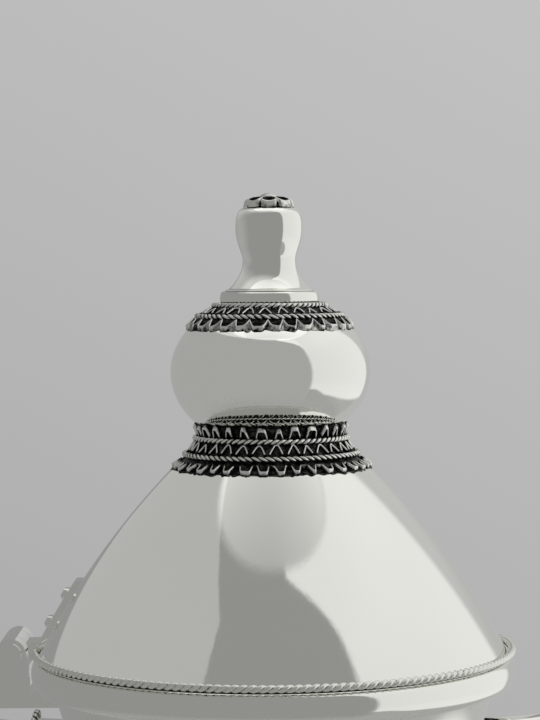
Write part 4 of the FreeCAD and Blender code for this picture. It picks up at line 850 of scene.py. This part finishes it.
def rosette_bead(name):
    """Granule at the rosette's centre, a little flattened."""
    tilt = math.tan(math.radians(PETAL_TILT))
    seat = KNOB_TOP_Z + SOLDER + 0.88 * tilt * (PETAL_END - 2 * STRIP)
    t = np.linspace(-np.pi / 2, np.pi / 2, 25)
    profile = np.stack([BEAD[0] * np.cos(t), seat + BEAD[1] * (1 + np.sin(t))], axis=-1)
    profile[[0, -1], 0] = 0
    return lathe(name, profile, 48, closed=False, tarnish_and_painted_light=np.full(25, 0.9))


SHADOW_FRINGE_BUMPS = 180
SHADOW_FRINGE_DROP = 0.2
SHADOW_FRINGE_MOST = 0.5
SHADOW_FRINGE_THICK = 0.04


def lower_backing(name):
    """Dark cone under the lower collar's wires, flared at its foot, with a ragged black fringe on the dome.

    The fringe is painted shadow: a thin black layer that stands for the collar's shadow and dark reflection
    on the dome under the cups. It hangs down the dome by seeded bumps joined by straight lines.
    """
    low, high = collar_ends()
    inner_high = (collar_inside(THROAT_Z, BACKING), THROAT_Z)
    inner_foot = (collar_inside(COLLAR_FOOT[1], BACKING), COLLAR_FOOT[1])
    profile = join(straight(COLLAR_FOOT, low, 6), straight(low, high, 10), [inner_high], [inner_foot])
    segments = 432
    turn = np.arange(segments) / segments
    # Ragged lower line of the painted shadow under the collar
    bumps = np.random.default_rng(41).normal(0, 1, SHADOW_FRINGE_BUMPS)
    ragged = np.interp(SHADOW_FRINGE_BUMPS * turn, np.arange(SHADOW_FRINGE_BUMPS + 1), np.append(bumps, bumps[:1]))
    fringe_z = COLLAR_STEP_Z - np.clip(SHADOW_FRINGE_DROP * (1 + ragged), 0, SHADOW_FRINGE_MOST)
    fringe_r = dome_radius(fringe_z) + SHADOW_FRINGE_THICK
    fringe = np.stack([fringe_r * np.cos(TAU * turn), fringe_r * np.sin(TAU * turn), fringe_z], axis=-1)
    ledge = np.array([(dome_radius(COLLAR_STEP_Z) + SHADOW_FRINGE_THICK, COLLAR_STEP_Z + 0.05)])
    points = np.concatenate([fringe[None], lathe_points(join(ledge, profile), segments)])
    faces = grid_faces(len(points), segments, True, True)
    return put_mesh(name, points.reshape(-1, 3), faces, smooth_angle=40)


def upper_backing(name):
    """Dark band on the ball between the upper collar's ropes."""
    r = np.linspace(15.3, 11.35, 20)
    return lathe(name, join(on_ball(r, SOLDER + BACKING), on_ball(r[::-1], SOLDER)))


def calyx_ring(name):
    """Dark ring on the throat that carries the calyx, with a thin lip that climbs behind the caps."""
    low, high = THROAT_Z + SOLDER, CALYX_Z - 0.4
    inner, outer = THROAT_RADIUS - BACKING, THROAT_RADIUS + BACKING
    ring = [(inner, low + 2 * BACKING), (inner, low), (outer, low), (outer, low + BACKING)]
    return lathe(name, ring + [(CALYX_RADIUS - 0.2, high), (CALYX_RADIUS - 0.38, high)])


def waist_sleeve(name):
    """Dark sleeve over the seam between bowl and neck."""
    inner = WAIST_FACE - BACKING
    low, high = SEAM_Z - WAIST_HALF, SEAM_Z + WAIST_HALF
    return lathe(name, rounded([(inner, low), (WAIST_FACE, low), (WAIST_FACE, high), (inner, high)], 0.1))


def curve_between(curve, low, high, lift, count=14):
    """Part of a (radius, height) curve between two heights, from the top down, moved out by lift."""
    z = np.linspace(high, low, count)
    order = np.argsort(curve[:, 1])
    return np.stack([np.interp(z, curve[order, 1], curve[order, 0]) + lift, z], axis=-1)


def waist_row(name, upper):
    """Row of lobes beyond one edge of the waist sleeve, pointing away from it."""
    near, far, lift = WAIST_HALF + STRIP, WAIST_HALF + STRIP + 3.6, 0.3
    if upper:
        line = curve_between(neck_curve(0.0, 300), SEAM_Z + near, SEAM_Z + far, lift)
        return strip_row(name, line, 64, lambda share: 1 - lobe_wave(share), steps=20, seed=11)
    bowl = bowl_curves(0.0)
    line = curve_between(bowl[bowl[:, 1] > BELLY_Z], SEAM_Z - far, SEAM_Z - near, lift)
    return strip_row(name, line, 64, lobe_wave, steps=20, seed=12)


def waist_rope(name, side, seed):
    """Twisted wire along the waist sleeve's upper edge (side 1) or lower edge (side -1)."""
    height = SEAM_Z + side * (WAIST_HALF - HEAVY_ROPE)
    return ring_rope(name, WAIST_FACE + HEAVY_ROPE + SOLDER, height, HEAVY_ROPE, 140, side, seed=seed)


def waist_zigzag(name):
    """Arches between the waist's ropes."""
    radius, half = WAIST_FACE + SOLDER, WAIST_HALF - 2 * HEAVY_ROPE - STRIP
    line = straight((radius, SEAM_Z + half), (radius, SEAM_Z - half))
    return strip_row(name, line, 56, arch_wave, steps=20, seed=13)


def lower_collar_rope(name, height, lenses, hand, seed):
    """Twisted wire on the lower collar's face."""
    radius, z = on_collar(height, 1.1 * ROPE + SOLDER)
    return ring_rope(name, radius, z, 1.1 * ROPE, lenses, hand, 0.6, seed=seed, worn=0.12)


def upper_collar_rope(name, radius, lenses, hand, seed):
    """Twisted wire on the ball."""
    r, z = on_ball(radius, 1.1 * ROPE + SOLDER)
    return ring_rope(name, r, z, 1.1 * ROPE, lenses, hand, 0.8, seed=seed, worn=0.1)


def lower_zigzag(name):
    """Arches between the lower collar's ropes."""
    top = on_collar(THROAT_Z - 2.6 * ROPE, SOLDER)
    bottom = on_collar(SKIRT_ROPE_Z + 1.7 * ROPE, SOLDER)
    return strip_row(name, straight(top, bottom, 8), 31, arch_wave, depth=0.55, thick=0.36,
                     fade=(1.0, 0.84), seed=5)


def lower_scallops(name):
    """Cups that hang from the lower rope down the collar's flare."""
    high = (COLLAR_FLARE[0] + 1.1, COLLAR_FLARE[1] - 0.95)
    low = (dome_radius(COLLAR_STEP_Z) + 0.05, COLLAR_STEP_Z - 0.05)
    return strip_row(name, straight(high, low, 8), 36, cup_wave, depth=0.92, thick=0.32,
                     stand=80, painted_lit_side=1, fade=(-0.35, 0.55), seed=6)


def ball_calyx(name):
    """Caps that stand up from the throat and cup the ball."""
    top = (CALYX_RADIUS + STRIP / 2, CALYX_Z)
    bottom = (THROAT_RADIUS + BACKING + STRIP / 2, THROAT_Z + STRIP)
    return strip_row(name, straight(top, bottom, 8), 28, cap_wave, depth=0.95, thick=0.32, stand=-66,
                     painted_lit_side=-1, fade=(1.2, 0.22), seed=7)


def upper_zigzag(name):
    """Arches between the upper collar's ropes."""
    r = np.linspace(11.7, 13.7, 10)
    return strip_row(name, on_ball(r, SOLDER + BACKING), 25, arch_wave, depth=0.45, thick=0.33,
                     fade=(0.95, 0.7), seed=8)


def upper_scallops(name):
    """Cups that hang from the upper collar's lower rope onto the ball."""
    r = np.linspace(15.15, 16.55, 14)
    return strip_row(name, on_ball(r, SOLDER), 31, broad_cup_wave, depth=1.0, thick=0.3, stand=84, painted_lit_side=1,
                     web=True, hem=True, seed=9)


def foot_rope(name):
    """Twisted wire in the corner between the foot's shoulder and its lip."""
    stand_off = HEAVY_ROPE + SOLDER
    return ring_rope(name, FOOT_LIP_OUTER + stand_off, FOOT_HEIGHT + stand_off, HEAVY_ROPE, 176, -1, seed=20)


def foot_scallops(name):
    """Lobes on the foot's sloping side."""
    top = (FOOT_SHOULDER + 0.24, FOOT_HEIGHT - STRIP)
    bottom = (FOOT_RADIUS, FOOT_TREAD + STRIP)
    return strip_row(name, straight(top, bottom, 8), 80, lobe_wave, steps=18, seed=10)


def lid_edge_rope(name):
    """Twisted wire round the lid's edge, broken at the hinge strap."""
    radius = dome_radius(LID_Z) + HEAVY_ROPE + SOLDER
    half_gap = math.asin(4.3 / LID_RADIUS)
    return ring_rope(name, radius, LID_Z + HEAVY_ROPE, HEAVY_ROPE, 176, 1, start=np.pi + half_gap,
                     sweep=TAU - 2 * half_gap, seed=21, worn=0.6)


PIECES = {
    "foot_ring": foot_ring,
    "foot_rope": foot_rope,
    "foot_scallops": foot_scallops,
    "body_bowl": body_bowl,
    "body_neck": body_neck,
    "mouth_rim": mouth_rim,
    "waist_sleeve": waist_sleeve,
    "waist_rope_upper": lambda n: waist_rope(n, 1, 22),
    "waist_rope_lower": lambda n: waist_rope(n, -1, 23),
    "waist_zigzag": waist_zigzag,
    "waist_points": lambda n: waist_row(n, True),
    "waist_scallops": lambda n: waist_row(n, False),
    "spout_shell": spout_shell,
    "spout_rope": spout_rope,
    "handle_grip": handle_grip,
    "handle_upper_socket": lambda n: handle_socket(n, 0),
    "handle_lower_socket": lambda n: handle_socket(n, 1),
    "handle_upper_rope": lambda n: handle_rope(n, 0),
    "handle_lower_rope": lambda n: handle_rope(n, 1),
    "lid_dome": lid_dome,
    "lid_bezel": lid_bezel,
    "lid_edge_rope": lid_edge_rope,
    "lower_collar_backing": lower_backing,
    "lower_collar_rope_upper": lambda n: lower_collar_rope(n, THROAT_Z - 1.6 * ROPE, 75, 1, 31),
    "lower_collar_rope_lower": lambda n: lower_collar_rope(n, SKIRT_ROPE_Z, 80, -1, 32),
    "lower_collar_zigzag": lower_zigzag,
    "lower_collar_scallops": lower_scallops,
    "calyx_ring": calyx_ring,
    "ball_calyx": ball_calyx,
    "ball_lower_half": lambda n: ball_half(n, False),
    "ball_upper_half": lambda n: ball_half(n, True),
    "upper_collar_backing": upper_backing,
    "upper_collar_rope_upper": lambda n: upper_collar_rope(n, 10.9, 60, 1, 33),
    "upper_collar_rope_lower": lambda n: upper_collar_rope(n, 14.15, 66, -1, 34),
    "upper_collar_zigzag": upper_zigzag,
    "upper_collar_scallops": upper_scallops,
    "finial_disc": finial_disc,
    "finial_knob": finial_knob,
    "rosette_seat": rosette_seat,
    "rosette_petals": rosette_petals,
    "rosette_bead": rosette_bead,
}

# A piece that stands for more nodes than the one that it is named for
STANDS_FOR = {"body_bowl": ("body_bowl", "body_shoulder", "body_throat")}


class Socket:
    """Wraps a node's output socket; arithmetic on it adds Math nodes to the same tree."""

    def __init__(self, tree, socket=None):
        self.tree = tree
        self.socket = socket

    def add(self, kind, settings=None, inputs=None, output=0):
        """Adds a node: its settings first, then each input's value or link, and gives one of its outputs."""
        node = self.tree.nodes.new(kind)
        for key, value in (settings or {}).items():
            setattr(node, key, value)
        for key, value in (inputs or {}).items():
            if isinstance(value, Socket):
                self.tree.links.new(value.socket, node.inputs[key])
            else:
                node.inputs[key].default_value = value
        return Socket(self.tree, node.outputs[output] if len(node.outputs) else None)

    def maths(self, operation, *values):
        """A Math node on numbers and sockets."""
        return self.add("ShaderNodeMath", {"operation": operation}, dict(enumerate(values)))

    def mix(self, first, second):
        """Colour that runs from first to second as this value goes from 0 to 1."""
        return self.add("ShaderNodeMix", {"data_type": "RGBA"}, {"Factor": self, 6: first, 7: second}, 2)

    def step(self, low, high):
        """Smooth step of this value from 0 at low to 1 at high."""
        settings = {"interpolation_type": "SMOOTHSTEP"}
        return self.add("ShaderNodeMapRange", settings, {"Value": self, "From Min": low, "From Max": high})

    def towards(self, other, share):
        """This value moved towards another by a share."""
        return self + share * (other - self)

    def clamp(self, low=0.0, high=1.0):
        """This value kept between two limits."""
        return self.add("ShaderNodeClamp", None, {"Value": self, "Min": low, "Max": high})

    def __add__(self, other):
        return self.maths("ADD", self, other)

    __radd__ = __add__

    def __sub__(self, other):
        return self.maths("SUBTRACT", self, other)

    def __rsub__(self, other):
        return self.maths("SUBTRACT", other, self)

    def __mul__(self, other):
        return self.maths("MULTIPLY", self, other)

    __rmul__ = __mul__


def empty_tree(holder):
    """Start of the cleared node tree of a material, the world or a lamp."""
    holder.use_nodes = True
    holder.node_tree.nodes.clear()
    return Socket(holder.node_tree)


def new_material(name):
    """Empty node material and the start of its tree."""
    material = bpy.data.materials.new(name)
    return material, empty_tree(material)


def close_material(start, shader):
    """Links a shader to the material's output."""
    start.add("ShaderNodeOutputMaterial", None, {"Surface": shader})


def object_noise(start, scale, detail=2.0, stretch=None):
    """Noise on object coordinates; scale is per metre."""
    place = start.add("ShaderNodeTexCoord", output="Object")
    if stretch is not None:
        place = start.add("ShaderNodeMapping", None, {"Vector": place, "Scale": stretch})
    return start.add("ShaderNodeTexNoise", None, {"Vector": place, "Scale": scale, "Detail": detail}, 0)


def polished_silver():
    """Mirror silver: faint warm drift in colour, hand-buffed haze and hairline scratches."""
    material, start = new_material("polished_silver")
    drift = object_noise(start, 30.0, 3.0)
    haze = object_noise(start, 260.0, 4.0)
    hairlines = object_noise(start, 900.0, 2.0, (1.0, 1.0, 0.12))
    colour = drift.mix((0.93, 0.935, 0.89, 1), (0.91, 0.91, 0.855, 1))
    rough = 0.035 + 0.05 * haze
    bump = start.add("ShaderNodeBump", None, {"Strength": 0.012, "Distance": 0.0004, "Height": hairlines})
    shader = start.add("ShaderNodeBsdfPrincipled", None,
                       {"Base Color": colour, "Metallic": 1.0, "Roughness": rough, "Normal": bump})
    close_material(start, shader)
    return material


def silver_wire():
    """Filigree wire: rubbed edges light, blackened towards the seat, in grooves and here and there, with a
    painted highlight on the lit side of the strips.
    """
    material, start = new_material("silver_wire")
    tarnish_and_painted_light = start.add("ShaderNodeAttribute", {"attribute_name": "tarnish_and_painted_light"}, output="Fac")
    wear = object_noise(start, 1500.0, 3.0)
    patina = object_noise(start, 420.0, 1.0)
    # Tarnish, rubbed wear, patina and the strips' painted highlight choose between black and light silver
    polish_and_painted_light = (2.5 * (tarnish_and_painted_light + 0.9 * wear + 0.8 * patina) - 3.05).clamp()
    colour = polish_and_painted_light.mix((0.010, 0.010, 0.009, 1), (0.86, 0.86, 0.81, 1))
    rough = 0.5 - 0.26 * polish_and_painted_light
    grain = object_noise(start, 2600.0, 2.0)
    bump = start.add("ShaderNodeBump", None, {"Strength": 0.12, "Distance": 0.0001, "Height": grain})
    shader = start.add("ShaderNodeBsdfPrincipled", None,
                       {"Base Color": colour, "Metallic": 1.0, "Roughness": rough, "Normal": bump})
    close_material(start, shader)
    return material


def oxidised_silver():
    """Blackened sheet behind the filigree, with a fine grain and greyer flecks where it has rubbed off."""
    material, start = new_material("oxidised_silver")
    rub = (5 * object_noise(start, 1100.0, 4.0) - 2.45).clamp()
    colour = rub.mix((0.006, 0.006, 0.006, 1), (0.11, 0.11, 0.105, 1))
    rough = 0.5 + 0.12 * rub
    grain = object_noise(start, 3000.0, 2.0)
    bump = start.add("ShaderNodeBump", None, {"Strength": 0.3, "Distance": 0.0001, "Height": grain})
    shader = start.add("ShaderNodeBsdfPrincipled", None,
                       {"Base Color": colour, "Metallic": 0.8, "Roughness": rough, "Normal": bump})
    close_material(start, shader)
    return material


def mirrored(node):
    """Whether other pieces mirror a node; the ball shows nothing of the spout, the handle or the hinge."""
    return not any(word in node for word in ("spout_", "handle_", "hinge"))


def dress():
    """Makes every piece, gives it its finish and lets it ride on its node's body."""
    record = frame["record"]
    slots = {part["node"]: part["material_slot"] for part in record["subparts"]}
    body_of = {node: body for body, nodes in record["behaviour"]["bodies"].items() for node in nodes}
    finishes = {make.__name__: make() for make in (polished_silver, silver_wire, oxidised_silver)}
    for node, make in PIECES.items():
        piece = make("shown_" + node)
        piece.data.materials.clear()
        piece.data.materials.append(finishes[slots[node]])
        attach(piece, body_of[node])
        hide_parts(*STANDS_FOR.get(node, (node,)))
        piece.visible_glossy = mirrored(node)
    shown_elsewhere = {node for nodes in STANDS_FOR.values() for node in nodes}
    for node in slots:
        if node not in PIECES and node not in shown_elsewhere:
            shown = frame["nodes"][node]
            shown.visible_glossy = mirrored(node)
            for slot in shown.material_slots:
                slot.material = finishes[slots[node]]


def camera():
    """Camera at the photograph's eye point: level distance, pitched down and leaned a little."""
    data = bpy.data.cameras.new("camera")
    data.sensor_fit = "VERTICAL"
    data.sensor_height = SENSOR
    data.lens = FOCAL_PIXELS / PICTURE_HEIGHT * SENSOR
    data.clip_start = 0.01
    data.clip_end = 50
    eye = bpy.data.objects.new("camera", data)
    bpy.context.scene.collection.objects.link(eye)
    pitch = math.radians(PITCH_DEGREES)
    lean = math.radians(LEAN_DEGREES)
    right = np.array([1.0, 0, 0])
    up = np.array([0, math.sin(pitch), math.cos(pitch)])
    back = np.cross(right, up)
    right, up = math.cos(lean) * right + math.sin(lean) * up, -math.sin(lean) * right + math.cos(lean) * up
    place = np.eye(4)
    place[:3, 0], place[:3, 1], place[:3, 2], place[:3, 3] = right, up, back, np.array(EYE) * MM
    eye.matrix_world = Matrix(place.tolist())
    bpy.context.scene.camera = eye


# Studio light by direction, in degrees round from the camera's side (right is positive) and above level
PANEL_NEAR = (47, 51)
PANEL_FAR = (141, 147)
PANEL_FOOT = (-35, -31)
PANEL_FAR_LEAN = 0.28
PANEL_NEAR_LEAN = 35
PANEL_LOW_CORNERS = (7, 15)
CEILING = (60.5, 63.5)
CEILING_TILT = 9
BACK_WALL = (133, 140)

# Brightness of the paper, the panel, the ceiling and the wall that only the camera sees
PAPER = 0.30
PAPER_RIGHT = 0.08
PAPER_LOW_RIGHT = 0.05
PAPER_BEHIND = (0.10, 0.07)
PANEL = 0.762
PANEL_GAIN = (0.075, 0.03, 0.03)
CEILING_LEVEL = (0.645, 0.49, 0.19)
WALL_LEVEL = (0.487, 0.17, 0.31)
WALL_RANGE = (0.40, 0.56)

# Lamps: shape, size, place, turn in degrees from facing down, brightness, feather, the nodes that each lights
BALL = ("ball_upper_half", "ball_lower_half")
DISC = ("finial_disc",)
KNOB = ("finial_knob",)
LAMPS = {
    "ball_light": ("ELLIPSE", (1.63, 1.2), (-0.129, 0.266, 1.268), (0, 0, -56.8), 0.25, 0, BALL[:1]),
    "front_light": ("RECTANGLE", (3.226, 6.9), (0.113, -1.5, 0.707), (90, 0, 0), 0.074, 0, BALL),
    "left_light": ("RECTANGLE", (6.9, 15.5), (-1.5, 6.25, 0.707), (0, -90, 0), 0.074, 0, BALL),
    "dome_light": ("RECTANGLE", (1.82, 5.0), (-1.0, 1.3, 1.36), (0, -90, 0), 0.135, 0, ("lid_dome",)),
    "disc_light": ("ELLIPSE", (1.36, 1.4), (-0.16, 0.12, 1.268), (0, 0, 0), 0.26, 0, DISC),
    "knob_light": ("ELLIPSE", (2.0, 2.05), (-0.16, 0.12, 1.268), (0, 0, 0), 0.26, 0.6, KNOB),
    "foot_light": ("ELLIPSE", (2.1, 4.6), (-1.0, 1.6, 1.3), (0, -90, 0), 0.14, 0.6, KNOB),
    "side_light": ("ELLIPSE", (3.6, 2.4), (-1.23, 0.86, 0.1), (90, 0, -120), 0.07, 0.9, KNOB),
}


def studio():
    """Surroundings whose brightness is a function of direction, the lamps and the floor.

    Grey paper stands all round, paler on the right and behind. On the right a broad panel covers it, with a
    near edge that leans back at the top, lower corners cut off and a far edge that leans in. A ceiling that
    is lower at the back closes the top. The camera itself sees a plain wall.
    """
    world = bpy.data.worlds.new("studio")
    bpy.context.scene.world = world
    start = empty_tree(world)
    seen = start.add("ShaderNodeLightPath", output="Is Camera Ray")
    direction = start.add("ShaderNodeTexCoord", output="Generated")
    split = start.add("ShaderNodeSeparateXYZ", None, {0: direction})
    x, y, z = (Socket(start.tree, split.socket.node.outputs[axis]) for axis in "XYZ")
    turn = x.maths("ARCTAN2", x, 0 - y) * math.degrees(1)
    rise = z.maths("ARCSINE", z) * math.degrees(1)
    overhead = (rise + CEILING_TILT * y).step(*CEILING)
    far = turn + PANEL_FAR_LEAN * (rise - 3).clamp(0, 90)
    at_back = far.step(*BACK_WALL)

    lean = ((rise - 40) * 0.0417).clamp()
    corner = ((turn - 92) * 0.0196).clamp()
    foot = PANEL_LOW_CORNERS[0] * (1 - turn.step(54, 76)) + PANEL_LOW_CORNERS[1] * corner * corner
    panel = (turn + PANEL_NEAR_LEAN * lean * lean * lean).step(*PANEL_NEAR) * (1 - far.step(*PANEL_FAR))
    panel = panel * (rise - foot).step(*PANEL_FOOT) * (1 - overhead)
    lit = PANEL + PANEL_GAIN[0] * ((turn - 55) * 0.0143).clamp()
    lit = lit + PANEL_GAIN[1] * rise.step(30, 48) + PANEL_GAIN[2] * (1 - rise.step(-22, -10))

    low_right = turn.step(72, 104) * rise.step(-46, -34) * (1 - at_back)
    paper = PAPER + PAPER_RIGHT * turn.step(44, 54) + PAPER_LOW_RIGHT * low_right
    paper = paper + at_back * (PAPER_BEHIND[0] + PAPER_BEHIND[1] * rise.step(0, 15))
    ceiling = CEILING_LEVEL[0] + CEILING_LEVEL[1] * y + CEILING_LEVEL[2] * x.clamp()
    around = paper.towards(ceiling, overhead).towards(lit, panel)
    wall = (WALL_LEVEL[0] + WALL_LEVEL[1] * x + WALL_LEVEL[2] * z).clamp(*WALL_RANGE)
    level = around.towards(wall, seen)
    shade = start.add("ShaderNodeCombineColor", None, {0: level, 1: level, 2: level})
    sky = start.add("ShaderNodeBackground", None, {"Color": shade, "Strength": 1.0})
    start.add("ShaderNodeOutputWorld", None, {"Surface": sky})
    for name, details in LAMPS.items():
        soft_lamp(name, *details)
    floor()


def soft_lamp(name, shape, size, place, turn, brightness, feather, nodes):
    """Wide lamp that lights only the pieces of some nodes.

    It is even, or fades to nothing at its rim over the share of the way from its middle named by feather.
    """
    lamp = bpy.data.lights.new(name, "AREA")
    lamp.shape = shape
    lamp.size, lamp.size_y = size
    area = size[0] * size[1] * (math.pi / 4 if shape == "ELLIPSE" else 1)
    lamp.energy = 4 * area * brightness
    if feather > 0:
        start = empty_tree(lamp)
        spot = start.add("ShaderNodeNewGeometry", output="Parametric")
        apart = {0: spot, 1: (0.5, 0.5, 0)}
        off_centre = start.add("ShaderNodeVectorMath", {"operation": "DISTANCE"}, apart, "Value")
        full = 1 - (2 * off_centre).step(1 - feather, 1)
        colour = full.mix((0, 0, 0, 1), (1, 1, 1, 1))
        glow = start.add("ShaderNodeEmission", None, {"Color": colour, "Strength": 1.0})
        start.add("ShaderNodeOutputLight", None, {"Surface": glow})
    holder = bpy.data.objects.new(name, lamp)
    holder.location = place
    holder.rotation_euler = [math.radians(angle) for angle in turn]
    holder.visible_camera = False
    bpy.context.scene.collection.objects.link(holder)
    lit = bpy.data.collections.new(name + "_lit")
    for node in nodes:
        lit.objects.link(bpy.data.objects["shown_" + node])
    holder.light_linking.receiver_collection = lit


def floor():
    """Pale disc under the foot that fades out over the outer half of its radius, in millimetres."""
    radius, under, rings = 340.0, 0.02, 40
    profile = straight((0, -under), (radius, -under), rings)
    piece = lathe("floor", profile, 96, closed=False)
    material, start = new_material("pale_floor")
    place = start.add("ShaderNodeTexCoord", output="Object")
    distance = start.add("ShaderNodeVectorMath", {"operation": "LENGTH"}, {0: place}, "Value")
    fade = (2.2 / (radius * MM) * distance - 1.2).clamp()
    mottle = object_noise(start, 9.0, 3.0)
    colour = mottle.mix((0.72, 0.72, 0.715, 1), (0.76, 0.76, 0.755, 1))
    matt = start.add("ShaderNodeBsdfPrincipled", None, {"Base Color": colour, "Roughness": 0.7})
    clear = start.add("ShaderNodeBsdfTransparent")
    shader = start.add("ShaderNodeMixShader", None, {0: fade, 1: matt, 2: clear})
    close_material(start, shader)
    piece.data.materials.append(material)


def main():
    """Builds the dressed pot, the studio and the camera."""
    bpy.context.scene.view_settings.view_transform = "Standard"
    dress()
    studio()
    camera()


main()
